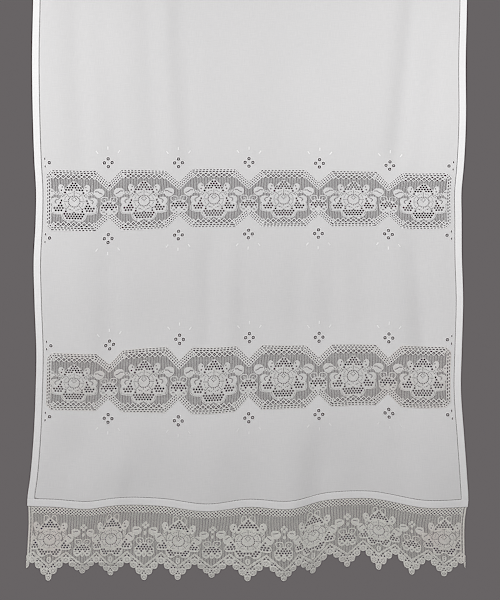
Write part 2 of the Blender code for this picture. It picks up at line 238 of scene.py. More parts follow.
def fold_of(across, down):
    """How far the soft folds bring the cloth towards the room: a bell across, eased in and out down."""
    forward = np.zeros_like(across)
    for head_across, foot_across, half_width, height, head, foot in FOLDS:
        along = np.clip((down - head) / (foot - head), 0.0, 1.0)
        middle = head_across + (foot_across - head_across) * along
        fade = ease((down - head) / FOLD_FADE) * ease((foot - down) / FOLD_FADE + 0.5)
        forward += height * fade * np.exp(-(((across - middle) / half_width) ** 2))
    return forward


def hang(across, down, forward):
    """World places of flat points in metres: x between the side edges, y from lift and folds, z down."""
    edge_down, left, right = np.array(SIDE_EDGES).T
    left_edge = smooth_curve(edge_down, left, down)
    right_edge = smooth_curve(edge_down, right, down)
    x = left_edge + (across / CLOTH_WIDTH + 0.5) * (right_edge - left_edge)
    lift = lift_of(across, np.minimum(down, VALLEY * MM))
    below_valley = np.maximum(down - VALLEY * MM, 0.0)
    point_places = MM * (POINTS_MIDDLE + POINT_PITCH * (np.arange(POINT_COUNT) - (POINT_COUNT - 1) / 2))
    straight = smooth_curve(point_places, np.array(POINT_DROPS) / FULL_POINT_DROP, across)
    curl = np.sqrt(np.maximum(1 - np.minimum(straight, 1.0) ** 2, 0.0))
    drawn = smooth_curve(point_places, MM * np.array(EDGING_SHIFTS), across)
    x = x + drawn * ease((down - EDGING_SHIFT_HEAD) / (EDGING_SHIFT_FOOT - EDGING_SHIFT_HEAD))
    z = -(down - below_valley) - below_valley * straight + lift
    y = SWING_SHARE * lift - fold_of(across, down) + TIP_CURL * below_valley * curl - forward
    return np.stack([x, y, z], axis=1)


# Mesh parts, all flat and in millimetres

def grid_triangles(rows, columns, wrap_rows=False, wrap_columns=False):
    """Two triangles for each cell of a grid of points, which may close on itself either way."""
    row, column = np.meshgrid(
        np.arange(rows if wrap_rows else rows - 1),
        np.arange(columns if wrap_columns else columns - 1),
        indexing="ij",
    )
    row, column = row.ravel(), column.ravel()
    next_row, next_column = (row + 1) % rows, (column + 1) % columns
    a = row * columns + column
    b = row * columns + next_column
    c = next_row * columns + next_column
    d = next_row * columns + column
    return np.concatenate([np.stack([a, b, c], 1), np.stack([a, c, d], 1)])


def repeated(part, offsets):
    """The part once at each (across, down) offset."""
    offsets = np.asarray(offsets, float)
    shift = np.concatenate([offsets, np.zeros((len(offsets), 1))], axis=1)
    points = (part.points[None] + shift[:, None]).reshape(-1, 3)
    starts = len(part.points) * np.arange(len(offsets))
    triangles = (part.triangles[None] + starts[:, None, None]).reshape(-1, 3)
    return part._replace(points=points, triangles=triangles)


def mirrored(part, axis=0):
    """The part's mirror image: across its middle line, or from top to foot for axis 1."""
    points = part.points.copy()
    points[:, axis] *= -1
    return part._replace(points=points, triangles=part.triangles[:, ::-1])


def lowered(parts, down):
    """The parts, each moved down."""
    return [repeated(part, [(0.0, down)]) for part in parts]


def cut_at(part, reach):
    """The part, with what lies further across than this trimmed off."""
    points = part.points.copy()
    outside = np.abs(points[:, 0]) >= reach
    points[:, 0] = np.clip(points[:, 0], -reach, reach)
    kept = ~outside[part.triangles].all(axis=1)
    return part._replace(points=points, triangles=part.triangles[kept])


def directions(path, closed):
    """Unit vectors along a flat path at each of its points."""
    step = np.roll(path, -1, 0) - np.roll(path, 1, 0) if closed else np.gradient(path, axis=0)
    return step / np.linalg.norm(step, axis=1, keepdims=True)


def sideways(along):
    """Flat vectors turned by a quarter."""
    return np.stack([-along[:, 1], along[:, 0]], axis=1)


def places_at(across, down):
    """Flat places from places across and places down, either of which may be one number."""
    return np.stack(np.broadcast_arrays(across, down), axis=1)


def ringed(path, side, half_width, half_height, level, turn):
    """Points round each place of a path: cos times the half width to its side, and sin times the
    half height forward, for each angle."""
    flat = path[..., None, :] + side[..., None, :] * (half_width * np.cos(turn))[:, None]
    height = np.broadcast_to(level + half_height * np.sin(turn), flat.shape[:-1])
    return np.concatenate([flat, height[..., None]], axis=-1).reshape(-1, 3)


def tube(path, half_width, half_height, level, finish="cord", closed=False, sides=6):
    """A cord with an oval section, laid along a flat path."""
    path = np.asarray(path, float)
    turn = 2 * math.pi * np.arange(sides) / sides
    points = ringed(path, sideways(directions(path, closed)), half_width, half_height, level, turn)
    return Part(points, grid_triangles(len(path), sides, closed, True), finish)


def threads(starts, ends, half_width, half_height, level, finish="cord"):
    """Straight three-sided threads from each start to its end, their ridge towards the room."""
    starts, ends = np.asarray(starts, float), np.asarray(ends, float)
    along = ends - starts
    side = sideways(along / np.linalg.norm(along, axis=1, keepdims=True))[:, None]
    turn = np.radians([90.0, 210.0, 330.0])
    points = ringed(np.stack([starts, ends], axis=1), side, half_width, half_height, level, turn)
    one = grid_triangles(2, 3, False, True)
    triangles = (one[None] + 6 * np.arange(len(starts))[:, None, None]).reshape(-1, 3)
    return Part(points, triangles, finish, crisp=True)


def walk(path, step, closed=False):
    """Evenly spaced points along a flat path, and the unit vectors along it there."""
    path = np.asarray(path, float)
    if closed:
        path = np.concatenate([path, path[:1]])
    lengths = np.linalg.norm(np.diff(path, axis=0), axis=1)
    reached = np.concatenate([[0.0], np.cumsum(lengths)])
    count = max(2, round(reached[-1] / step) + (0 if closed else 1))
    at = np.linspace(0.0, reached[-1], count, endpoint=not closed)
    points = np.stack([np.interp(at, reached, path[:, i]) for i in (0, 1)], axis=1)
    segment = np.clip(np.searchsorted(reached, at, side="right") - 1, 0, len(lengths) - 1)
    return points, (np.diff(path, axis=0) / lengths[:, None])[segment]


def rounded(path, step=1.6, closed=False):
    """Evenly spaced points on a flat path whose corners are cut twice, by a quarter of each side."""
    path = np.asarray(path, float)
    for _ in range(2):
        after = np.roll(path, -1, 0)
        cut = np.stack([0.75 * path + 0.25 * after, 0.25 * path + 0.75 * after], axis=1)
        if closed:
            path = cut.reshape(-1, 2)
        else:
            path = np.concatenate([path[:1], cut[:-1].reshape(-1, 2), path[-1:]])
    return walk(path, step, closed)[0]


def egg(centre, half_across, half_down, turn=0.0, taper=0.0, count=28):
    """An egg outline: a circle that narrows towards its foot by the taper, stretched, then turned."""
    angle = 2 * math.pi * np.arange(count) / count
    x = half_across * np.cos(angle) * (1 - taper * np.sin(angle))
    y = half_down * np.sin(angle)
    c, s = math.cos(math.radians(turn)), math.sin(math.radians(turn))
    return np.stack([x * c - y * s, x * s + y * c], axis=1) + centre


def inside(points, outline):
    """Whether each point lies inside a closed outline, by how often a ray from it crosses the line."""
    x, y = points[:, 0, None], points[:, 1, None]
    x1, y1 = outline.T
    x2, y2 = np.roll(outline, -1, 0).T
    crosses = (y1 > y) != (y2 > y)
    rise = np.where(np.abs(y2 - y1) < 1e-12, 1.0, y2 - y1)
    return (crosses & (x < x1 + (y - y1) / rise * (x2 - x1))).sum(axis=1) % 2 == 1


def hexagonal_points(low, high, step):
    """Points of an even triangular grid that fills a box."""
    rows = np.arange(low[1], high[1], step * 0.866)
    columns = np.arange(low[0], high[0], step)
    x, y = np.meshgrid(columns, rows)
    x = x + 0.5 * step * (np.arange(len(rows)) % 2)[:, None]
    return np.stack([x.ravel(), y.ravel()], axis=1)


NEAR_HOLE = 1.15
NEAR_EDGE = 0.3
PLACES_AT_ONCE = 4000
MOST_GAPS = 2e6


def pierced(outline, holes, level, relief, grain, finish, cut_outs=(), rim=1.38, hole_sides=8):
    """Close-worked cloth inside an outline and outside its round holes (across, down, half width,
    half height) and cut-outs.  It is level at every edge and raised by the relief between them."""
    holes = np.asarray(holes, float).reshape(-1, 4)
    angle = 2 * math.pi * (np.arange(hole_sides) + 0.5) / hole_sides
    circle = np.stack([np.cos(angle), np.sin(angle)], axis=1)
    hole_rings = holes[:, None, :2] + circle[None] * holes[:, None, 2:]
    borders = [outline, *cut_outs, *hole_rings]
    border = np.concatenate(borders)
    first = np.cumsum([0] + [len(ring) for ring in borders[:-1]])
    edges = np.concatenate([
        start + np.stack([np.arange(len(ring)), np.roll(np.arange(len(ring)), -1)], axis=1)
        for start, ring in zip(first, borders)
    ])
    raised = hexagonal_points(outline.min(0), outline.max(0), grain)
    if len(holes):
        near_hole = np.zeros(len(raised), bool)
        for chunk in np.array_split(np.arange(len(raised)), len(raised) // PLACES_AT_ONCE + 1):
            off = (raised[chunk, None] - holes[None, :, :2]) / holes[None, :, 2:]
            near_hole[chunk] = ((off ** 2).sum(axis=2) < (rim * NEAR_HOLE) ** 2).any(axis=1)
        around = holes[:, None, :2] + rim * circle[None] * holes[:, None, 2:]
        raised = np.concatenate([raised[~near_hole], around.reshape(-1, 2)])
    raised = raised[inside(raised, outline)]
    if len(outline) * len(raised) < MOST_GAPS:
        gap = np.linalg.norm(raised[:, None] - outline[None], axis=2).min(axis=1)
        raised = raised[gap > NEAR_EDGE * grain]
    for cut_out in cut_outs:
        raised = raised[~inside(raised, cut_out)]
    flat = np.concatenate([border, raised])
    made, _, faces, sources, _, _ = delaunay_2d_cdt(flat.tolist(), edges.tolist(), [], 0, 1e-6)
    points = np.array([tuple(point) for point in made])
    faces = np.array(faces)
    source = np.array([group[0] if group else 0 for group in sources])
    middle = points[faces].mean(axis=1)
    kept = inside(middle, outline)
    for cut_out in cut_outs:
        kept &= ~inside(middle, cut_out)
    shrink = math.cos(math.pi / hole_sides)
    for hole in holes:
        kept &= (((middle - hole[:2]) / hole[2:]) ** 2).sum(axis=1) > shrink ** 2
    faces = faces[kept]
    a, b, c = points[faces].transpose(1, 0, 2)
    turned = np.cross(b - a, c - a) < 0
    faces[turned] = faces[turned][:, ::-1]
    height = level + relief * (source >= len(border))
    return Part(np.concatenate([points, height[:, None]], axis=1), faces, finish)


def hung_object(name, parts, finishes):
    """One mesh of all these flat parts, each point hung in its place, with its flat place kept on it."""
    starts = np.cumsum([0] + [len(part.points) for part in parts[:-1]])
    flat = MM * np.concatenate([part.points for part in parts])
    triangles = np.concatenate([part.triangles + start for part, start in zip(parts, starts)])
    slots = list(finishes)
    slot_of = np.concatenate([np.full(len(part.triangles), slots.index(part.finish)) for part in parts])
    used = np.unique(triangles)
    renumbered = np.zeros(len(flat), int)
    renumbered[used] = np.arange(len(used))
    flat = flat[used]
    # A flat part seen from the room has its down axis turned to -Z, which turns each face round
    triangles = renumbered[triangles][:, ::-1]
    mesh = bpy.data.meshes.new(name)
    mesh.vertices.add(len(flat))
    mesh.vertices.foreach_set("co", hang(*flat.T).ravel())
    mesh.loops.add(3 * len(triangles))
    mesh.loops.foreach_set("vertex_index", triangles.ravel())
    mesh.polygons.add(len(triangles))
    mesh.polygons.foreach_set("loop_start", 3 * np.arange(len(triangles)))
    mesh.polygons.foreach_set("material_index", slot_of)
    mesh.attributes.new("flat_place", "FLOAT_VECTOR", "POINT").data.foreach_set("vector", flat.ravel())
    for finish in finishes.values():
        mesh.materials.append(finish)
    smooth = np.concatenate([np.full(len(part.triangles), not part.crisp) for part in parts])
    mesh.polygons.foreach_set("use_smooth", smooth)
    mesh.update(calc_edges=True)
    mesh.validate()
    piece = bpy.data.objects.new(name, mesh)
    bpy.context.scene.collection.objects.link(piece)
    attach(piece, "root")
    return piece


# Lace figures, in millimetres from the middle of a flower, the top of a bell or the seam

def close_work(outline, holes=(), level=0.2, cord=0.5):
    """A figure of close work, with holes given as (across, down, half width, half height)."""
    return Figure(outline, np.asarray(holes, float).reshape(-1, 4), level, cord)


def with_mirrored(figures):
    """The figures and their mirror images."""
    return figures + [
        figure._replace(outline=(figure.outline * (-1, 1))[::-1], holes=figure.holes * (-1, 1, 1, 1))
        for figure in figures
    ]


def moved(figures, across, down):
    """The figures, shifted."""
    return [
        figure._replace(outline=figure.outline + (across, down), holes=figure.holes + (across, down, 0, 0))
        for figure in figures
    ]


def whole(half):
    """A closed outline from its right half, which may start and end on the middle line."""
    return half + [(-x, y) for x, y in reversed(half) if x > 0]


CELL_PITCH = 5.2
CELL_HOLE = (2.05, 1.85)


def open_work(outline, chart, small_holes=()):
    """Close work inside rounded corners, opened by some smaller holes and by a chart of rows of cells:
    how far down, the first one's place across, and how many."""
    cells = [
        (first + CELL_PITCH * number, down, *CELL_HOLE)
        for down, first, count in chart
        for number in range(count)
    ]
    return close_work(rounded(outline, 2.0, closed=True), cells + list(small_holes), 0.0)


def holes_at(places, radius):
    """Holes of one size at these places; the radius may be a pair."""
    return np.concatenate([places, np.broadcast_to(radius, places.shape)], axis=1)


def leaf(centre, half_across, half_down, turn, vein, taper=0.15, level=0.2):
    """A leaf of close work, with a row of small holes for its vein from one (across, down) to another."""
    outline = egg(centre, half_across, half_down, turn, taper)
    return close_work(outline, holes_at(walk(np.array(vein) + centre, 2.3)[0], 0.95), level)


def twig(path, half_width=2.3):
    """A narrow strip with small holes along it, by turns on its left and on its right."""
    path = rounded(path)
    side = half_width * sideways(directions(path, False))
    outline = walk(np.concatenate([path + side, (path - side)[::-1]]), 1.6, closed=True)[0]
    places, along = walk(path[1:-1], 2.3)
    turns = np.where(np.arange(len(places)) % 2, 0.45, -0.45) * half_width
    return close_work(outline, holes_at(places + turns[:, None] * sideways(along), 0.85), 0.1, 0.35)


FLOWER_RADIUS = 19.8
FLOWER_LOBE = 2.2
FLOWER_FLATTENED = 0.93
RING_RADIUS = 11.0
RING_HOLES = 20
LOBE_HOLE_RADII = (13.9, 16.3, 18.7)
EDGE_HOLE_RADIUS = 17.8
EDGE_HOLE_SHARES = (0.28, 0.5, 0.72)
FLOWER_HOLES = (
    (0.0, -8.2), (-2.2, -6.3), (2.2, -6.3), (-4.3, -4.3), (4.3, -4.3), (-2.2, -2.3), (2.2, -2.3), (0.0, -0.4),
    (-7.6, 15.0), (7.6, 15.0),
)


def on_flower(angle, radius):
    """Places at these angles, clockwise from straight up, on a flower's flattened circle."""
    return np.stack([radius * np.sin(angle), -FLOWER_FLATTENED * radius * np.cos(angle)], axis=1)


def rose():
    """A flower with eight shallow lobes, a ring of small holes in it, and a lozenge of them inside."""
    angle = 2 * math.pi * np.arange(72) / 72
    lobes = np.arange(8)
    ring = on_flower(2 * math.pi * np.arange(RING_HOLES) / RING_HOLES, RING_RADIUS)
    between_lobes = [on_flower(math.pi / 4 * lobes, radius) for radius in LOBE_HOLE_RADII]
    near_edge = [on_flower(math.pi / 4 * (lobes + share), EDGE_HOLE_RADIUS) for share in EDGE_HOLE_SHARES]
    holes = [
        holes_at(ring, 1.15),
        holes_at(np.concatenate(between_lobes), 0.8),
        holes_at(np.concatenate(near_edge), 0.7),
        holes_at(np.array(FLOWER_HOLES), 0.9),
    ]
    outline = on_flower(angle, FLOWER_RADIUS + FLOWER_LOBE * np.abs(np.sin(4 * angle)))
    return close_work(outline, np.concatenate(holes), 0.3)


def medallion_figures():
    """All close-worked figures of one medallion, from the middle of its flower."""
    roof = open_work(
        whole([
            (0.0, -39.0), (10.0, -31.0), (21.0, -19.5), (20.5, -12.0), (15.0, -14.0), (9.0, -19.0),
            (0.0, -20.5),
        ]),
        [
            (-33.8, -2.6, 2), (-29.7, -5.2, 3), (-25.6, -13.0, 6),
            (-21.3, -15.2, 3), (-21.3, 4.8, 3), (-16.3, -17.3, 1), (-16.3, 17.3, 1),
        ],
    )
    foot = open_work(
        [
            (-21.5, 14.0), (-21.5, 26.0), (-17.5, 34.0), (-8.0, 36.0), (0.0, 32.5), (8.0, 36.0), (17.5, 34.0),
            (21.5, 26.0), (21.5, 14.0), (13.0, 16.5), (5.0, 20.0), (0.0, 13.0), (-5.0, 20.0), (-13.0, 16.5),
        ],
        [
            (18.4, -15.6, 1), (18.4, 15.6, 1), (23.2, -18.2, 8),
            (27.2, -15.6, 7), (31.0, -13.0, 3), (31.0, 2.6, 3),
        ],
        [(0.0, 20.4, 1.5, 1.3)],
    )
    side = open_work(
        [
            (20.5, -6.5), (27.0, -6.5), (29.0, 1.0), (33.0, 5.5), (41.0, 7.0), (42.5, 20.5),
            (32.0, 22.0), (16.0, 21.5), (19.0, 8.0),
        ],
        [(3.1, 25.9, 1), (8.1, 23.6, 2), (12.4, 21.4, 4), (16.8, 24.0, 3)],
        [(24.0, -1.4, 1.5, 2.2), (37.0, 8.8, 0.9, 0.9)],
    )
    bud = egg((24.0, -23.2), 5.3, 7.8, 14.0, 0.15)
    return [rose(), roof, foot] + with_mirrored([
        side,
        close_work(bud, [(22.2, -26.4, 1.1, 1.3), (24.0, -20.4, 1.35, 1.5)]),
        leaf((47.0, -15.8), 9.4, 8.4, 0.0, ((-7.0, -2.6), (-2.4, -2.8), (1.6, 0.4), (5.2, 1.6))),
        leaf((35.5, 1.0), 8.2, 7.9, 0.0, ((-5.6, -4.6), (-1.6, -3.6), (0.8, -0.4), (-1.4, 2.4))),
        twig([(23.6, -17.5), (23.0, -11.0), (23.6, -4.5)]),
        twig([(25.5, -13.5), (31.0, -14.5), (38.5, -16.0)]),
    ])


def bell():
    """An open-worked dome over three flared petals, from its top's level; it hangs at waists and fans."""
    dome = open_work(
        [
            (-16.4, 13.0), (-15.8, 6.0), (-5.0, -2.0), (5.0, -2.0), (15.8, 6.0), (16.4, 13.0), (8.8, 12.4),
            (7.6, 16.8), (2.8, 16.8), (0.0, 11.2), (-2.8, 16.8), (-7.6, 16.8), (-8.8, 12.4),
        ],
        [(1.2, -2.6, 2), (5.3, -10.4, 5), (9.4, -13.0, 6), (13.4, -5.4, 1), (13.4, 5.4, 1)],
    )
    middle_petal = leaf((0.0, 18.2), 3.3, 5.6, 0.0, ((0.0, 0.5), (0.0, 0.6)), 0.0, 0.3)
    side_petal = leaf((10.2, 18.0), 4.6, 4.3, 30.0, ((-1.4, -0.4), (0.8, -0.2)), 0.2, 0.3)
    return [dome, middle_petal] + with_mirrored([side_petal])


def edging_rose_figures():
    """The figures of a point that carries a flower, from the middle of the flower."""
    roof = open_work(
        whole([
            (0.0, -42.5), (9.5, -34.5), (20.5, -22.0), (19.5, -13.5), (14.5, -16.0), (9.0, -20.0),
            (0.0, -21.5),
        ]),
        [
            (-36.6, 0.0, 1), (-32.9, -2.6, 2), (-29.0, -10.4, 5), (-25.0, -13.0, 6),
            (-20.9, -15.6, 1), (-20.9, 15.6, 1),
        ],
    )
    foot = open_work(
        [
            (-20.0, 11.5), (-22.5, 21.5), (-18.5, 30.5), (-9.0, 31.5), (-3.5, 26.0), (3.5, 26.0), (9.0, 31.5),
            (18.5, 30.5), (22.5, 21.5), (20.0, 11.5), (13.0, 14.5), (0.0, 16.5), (-13.0, 14.5),
        ],
        [
            (18.6, -18.2, 2), (18.6, -2.6, 2), (18.6, 13.0, 2),
            (22.5, -15.6, 7), (26.4, -13.0, 2), (26.4, 7.8, 2),
        ],
    )
    side = open_work(
        [
            (25.5, -3.5), (31.0, -2.0), (32.5, 5.5), (38.5, 8.0), (38.0, 17.5), (30.0, 18.5),
            (19.0, 18.0), (18.0, 10.0),
        ],
        [(5.6, 25.4, 1), (9.7, 22.8, 3), (13.8, 21.0, 3)],
        [(28.0, 1.4, 1.9, 1.4), (36.3, 13.2, 1.0, 1.2)],
    )
    bud = egg((24.5, -25.0), 5.3, 8.2, 12.0, 0.15)
    return [rose(), roof, foot, leaf((0.0, 37.5), 3.8, 5.4, 0.0, ((0.0, -1.8), (0.0, 1.4)))] + with_mirrored([
        side,
        close_work(bud, [(22.8, -28.0, 1.1, 1.2), (24.4, -22.5, 1.2, 1.4)]),
        leaf((35.0, -4.0), 6.6, 8.0, 0.0, ((-3.6, -4.4), (1.6, -0.6))),
        twig([(24.0, -18.5), (23.8, -11.5), (26.0, -3.5)]),
    ])


def edging_fan_figures():
    """The figures of a point that carries a fan, from the point's line and the seam."""
    figures = moved(bell(), 0.0, FAN_BELL_DOWN)
    for turn in (0.0, 90.0, 180.0, 270.0):
        ray = np.array([math.sin(math.radians(turn)), -math.cos(math.radians(turn))])
        figures.append(close_work(egg(ray * 4.0 + (0.0, 36.0), 2.5, 2.3, turn, 0.3, 16), cord=0.45))
    figures += with_mirrored([leaf((14.6, 47.0), 7.8, 7.4, -15.0, ((-3.0, -3.0), (3.4, -1.6)), 0.25)])
    figures.append(close_work(egg((0.0, 50.5), 2.2, 3.4, count=14), cord=0.4))
    return figures


def worked(figures, offsets):
    """The figures as pierced cloth with a cord round each, repeated at each offset."""
    parts = []
    for figure in figures:
        level = FIGURE_LEVEL + figure.level
        parts.append(pierced(figure.outline, figure.holes, level, FIGURE_RELIEF, FIGURE_GRAIN, "cloth"))
        parts.append(tube(figure.outline, figure.cord, 0.36, level + 0.1, closed=True, sides=5))
    return [repeated(part, offsets) for part in parts]


# Net

WARP_PAIR_PITCH = 5.1
WARP_PAIR_GAP = 1.7
WEFT_PITCH = 1.95
THREAD_HALF_WIDTH = 0.3
THREAD_HALF_HEIGHT = 0.13
NET_SAMPLE = 0.5
SHORTEST_THREAD = 1.0
LONGEST_THREAD = 9.0


def net_lines(lines, samples, wanted):
    """The unbroken stretches of wanted samples along straight lines, split into short threads: the
    line's place, and the start and the end along it, of each."""
    padded = np.zeros((wanted.shape[0], wanted.shape[1] + 2), np.int8)
    padded[:, 1:-1] = wanted
    change = np.diff(padded, axis=1)
    line, first = np.nonzero(change == 1)
    _, after = np.nonzero(change == -1)
    start, end = samples[first], samples[after - 1]
    long_enough = end - start > SHORTEST_THREAD
    line, start, end = line[long_enough], start[long_enough], end[long_enough]
    count = np.ceil((end - start) / LONGEST_THREAD).astype(int)
    run = np.repeat(np.arange(len(count)), count)
    step = np.arange(len(run)) - np.repeat(np.cumsum(count) - count, count)
    length = (end - start)[run] / count[run]
    begin = start[run] + length * step
    return lines[line[run]], begin, begin + length


def wandered(across, down):
    """The net is not quite even: its threads wander a little, in slow waves."""
    shift = 0.75 * np.sin(down / 8.3 + across / 47.0) + 0.55 * np.sin(down / 21.0 - across / 19.0)
    sag = 0.35 * np.sin(across / 13.0 + down / 31.0)
    return np.stack([across + shift, down + sag], axis=1)


def net(left, right, top, bottom, wanted_at):
    """Upright threads in pairs and level threads between them, wherever wanted_at allows them."""
    pairs = np.arange(left, right, WARP_PAIR_PITCH)
    uprights = np.sort(np.concatenate([pairs, pairs + WARP_PAIR_GAP]))
    levels = np.arange(top, bottom, WEFT_PITCH)
    down = np.arange(top, bottom + NET_SAMPLE, NET_SAMPLE)
    across = np.arange(left, right + NET_SAMPLE, NET_SAMPLE)
    parts = []
    for lines, samples, order in ((uprights, down, (0, 1)), (levels, across, (1, 0))):
        places = np.stack(np.meshgrid(lines, samples, indexing="ij"), axis=2)[..., order]
        wanted = wanted_at(places.reshape(-1, 2)).reshape(places.shape[:2])
        line, start, end = net_lines(lines, samples, wanted)
        starts, ends = (
            wandered(*((line, place) if order == (0, 1) else (place, line))) for place in (start, end)
        )
        parts.append(threads(starts, ends, THREAD_HALF_WIDTH, THREAD_HALF_HEIGHT, NET_LEVEL, "net"))
    return parts


def outside_figures(points, figures):
    """Whether each point lies outside all the figures."""
    clear = np.ones(len(points), bool)
    for figure in figures:
        low, high = figure.outline.min(0), figure.outline.max(0)
        near = np.flatnonzero(((points > low) & (points < high)).all(axis=1))
        clear[near[inside(points[near], figure.outline)]] = False
    return clear


# Insertion bands

RAILS = (0.4, 3.7, 7.4, 11.2)
RAIL_HALF_WIDTH = 0.95
RUNG_PITCH = 6.4
RUNG_HALF_WIDTHS = (1.7, 1.2)
SLANT_RUNG_PITCH = 4.6
SLANT_RUNG_HALF_WIDTH = 1.3
HEM_RUNG_PITCH = 2.6
STRIP_REACH = FLAT_HALF - 4.0
LOZENGE_PITCH = 9.8
LOZENGE_TOP = 8.2
LOZENGE_DEPTH = 8.4
NET_INSET = 7.6
NET_REACH_DOWN = 49.4
NET_LAP = 0.6
ROSE_DROP = 1.8
WAIST_BELL_DOWN = 3.4
CHAIN_SLOPE = (BAND_HALF_HEIGHT - WAIST_HALF_HEIGHT) / (MEDALLION_PITCH / 2 - FLAT_HALF)


def medallion_centres():
    return MEDALLION_PITCH * (np.arange(MEDALLION_COUNT) - (MEDALLION_COUNT - 1) / 2)


def waist_places():
    return MEDALLION_PITCH * (np.arange(MEDALLION_COUNT - 1) - (MEDALLION_COUNT - 2) / 2)


def chain_outline(inset):
    """The closed outline of the medallion chain, moved inwards by the inset, from the band's middle."""
    lean = math.hypot(1.0, CHAIN_SLOPE)
    corner = MEDALLION_PITCH / 2 - FLAT_HALF + inset * (lean - 1) / CHAIN_SLOPE
    chamfer = BAND_END_CHAMFER + (math.sqrt(2) - 1) * inset
    half = BAND_HALF_HEIGHT - inset
    corners = [(-BAND_END + inset, BAND_HALF_HEIGHT - chamfer), (-BAND_END + chamfer, half)]
    for waist in waist_places():
        corners += [(waist - corner, half), (waist, WAIST_HALF_HEIGHT - inset * lean), (waist + corner, half)]
    corners += [(-x, y) for x, y in reversed(corners[:2])]
    foot = np.array(corners)
    return np.concatenate([foot * (1, -1), foot[::-1]])


LEAST_SLANT = 0.2


def slanted(along):
    """Which of these directions slant: those with much of both across and down."""
    return np.abs(along[:, 0] * along[:, 1]) > LEAST_SLANT


def ladder():
    """Flat rails round the whole chain and the rungs between them; the slants have one row more."""
    parts = []
    for inset in RAILS:
        path, along = walk(chain_outline(inset), 2.0, closed=True)
        rail = tube(path, RAIL_HALF_WIDTH, 0.2, CORD_LEVEL, closed=True)
        if inset == RAILS[-1]:
            kept = np.repeat(slanted(along), 6)[rail.triangles].all(axis=1)
            rail = rail._replace(triangles=rail.triangles[kept])
        parts.append(rail)
    for row, (low, high) in enumerate(zip(RAILS[:-1], RAILS[1:])):
        rungs = [(SLANT_RUNG_PITCH, SLANT_RUNG_HALF_WIDTH, True)]
        if row < len(RUNG_HALF_WIDTHS):
            rungs.append((RUNG_PITCH, RUNG_HALF_WIDTHS[row], False))
        for pitch, half_width, on_slants in rungs:
            places, along = walk(chain_outline((low + high) / 2), pitch, closed=True)
            kept = slanted(along) == on_slants
            places, along = places[kept] + 0.5 * pitch * (row % 2) * along[kept], along[kept]
            side = sideways(along) * (high - low) / 2
            parts.append(threads(places - side, places + side, half_width, 0.15, CORD_LEVEL - 0.05))
    return parts


def crossed_cords(reach, top, depth, pitch, half_width):
    """Two zigzag cords that cross, so that a row of lozenges lies between them, one in the middle."""
    count = math.floor(reach / pitch)
    numbers = np.arange(-count, count + 1)
    paths = [places_at(pitch * numbers, top + depth * ((numbers + turn) % 2)) for turn in (0, 1)]
    return [tube(path, half_width, 0.3, CORD_LEVEL) for path in paths]


def lozenge_strip():
    """A medallion's row of lozenges, measured inwards from its straight edge: a rail, the crossed cords
    and a knot in each lozenge."""
    rail = [(-STRIP_REACH, LOZENGE_TOP - 0.8), (STRIP_REACH, LOZENGE_TOP - 0.8)]
    cords = crossed_cords(STRIP_REACH + 2.0, LOZENGE_TOP, LOZENGE_DEPTH, LOZENGE_PITCH, 1.35)
    count = math.floor(STRIP_REACH / LOZENGE_PITCH)
    knot = egg((0.0, LOZENGE_TOP + LOZENGE_DEPTH / 2), 0.5, 0.45, count=8)
    knot = tube(knot, 0.5, 0.3, CORD_LEVEL, closed=True, sides=5)
    places = places_at(LOZENGE_PITCH * np.arange(-count, count + 1), 0.0)
    return [tube(walk(rail, 4.0)[0], 0.9, 0.3, CORD_LEVEL), *cords, repeated(knot, places)]


def cord_pair(path, half_width, above, down=0.0, half_height=0.3):
    """A cord through rounded corners, this far above the cords' level, and its mirror image."""
    path = rounded(np.array(path) + (0.0, down))
    cord = tube(path, half_width, half_height, CORD_LEVEL + above)
    return [cord, mirrored(cord)]


def bell_cords(scroll_down, petals_down):
    """A bell's pair of squarish loops above it, and the cords that flare from its sides round its
    petals, from the level of the loops' feet and of its top."""
    loop = [(2.0, 1.0), (2.0, -7.5), (5.0, -9.6), (12.0, -9.6), (15.6, -6.6), (14.4, -1.8), (10.4, 1.4)]
    curl = [(10.6, 0.6), (7.0, -0.6), (6.0, -4.6), (9.6, -5.6)]
    flare = [(16.4, 6.0), (16.4, 16.0), (14.6, 20.0), (9.0, 23.6), (5.2, 20.0), (4.0, 15.0)]
    scrolls = cord_pair(loop, 0.85, 0.05, scroll_down) + cord_pair(curl, 0.65, 0.05, scroll_down)
    return scrolls + cord_pair(flare, 0.8, 0.05, petals_down)


def medallion_cords():
    """Cords laid round a medallion's side works and under its foot."""
    edge = [(29.5, 2.0), (34.0, 6.0), (43.0, 7.5), (44.5, 21.0), (35.0, 23.5), (22.0, 23.5)]
    bow = [(1.0, 34.0), (8.5, 38.0), (18.5, 35.5), (23.5, 27.0), (23.5, 21.0)]
    return cord_pair(edge, 0.75, 0.1) + cord_pair(bow, 0.8, 0.0)


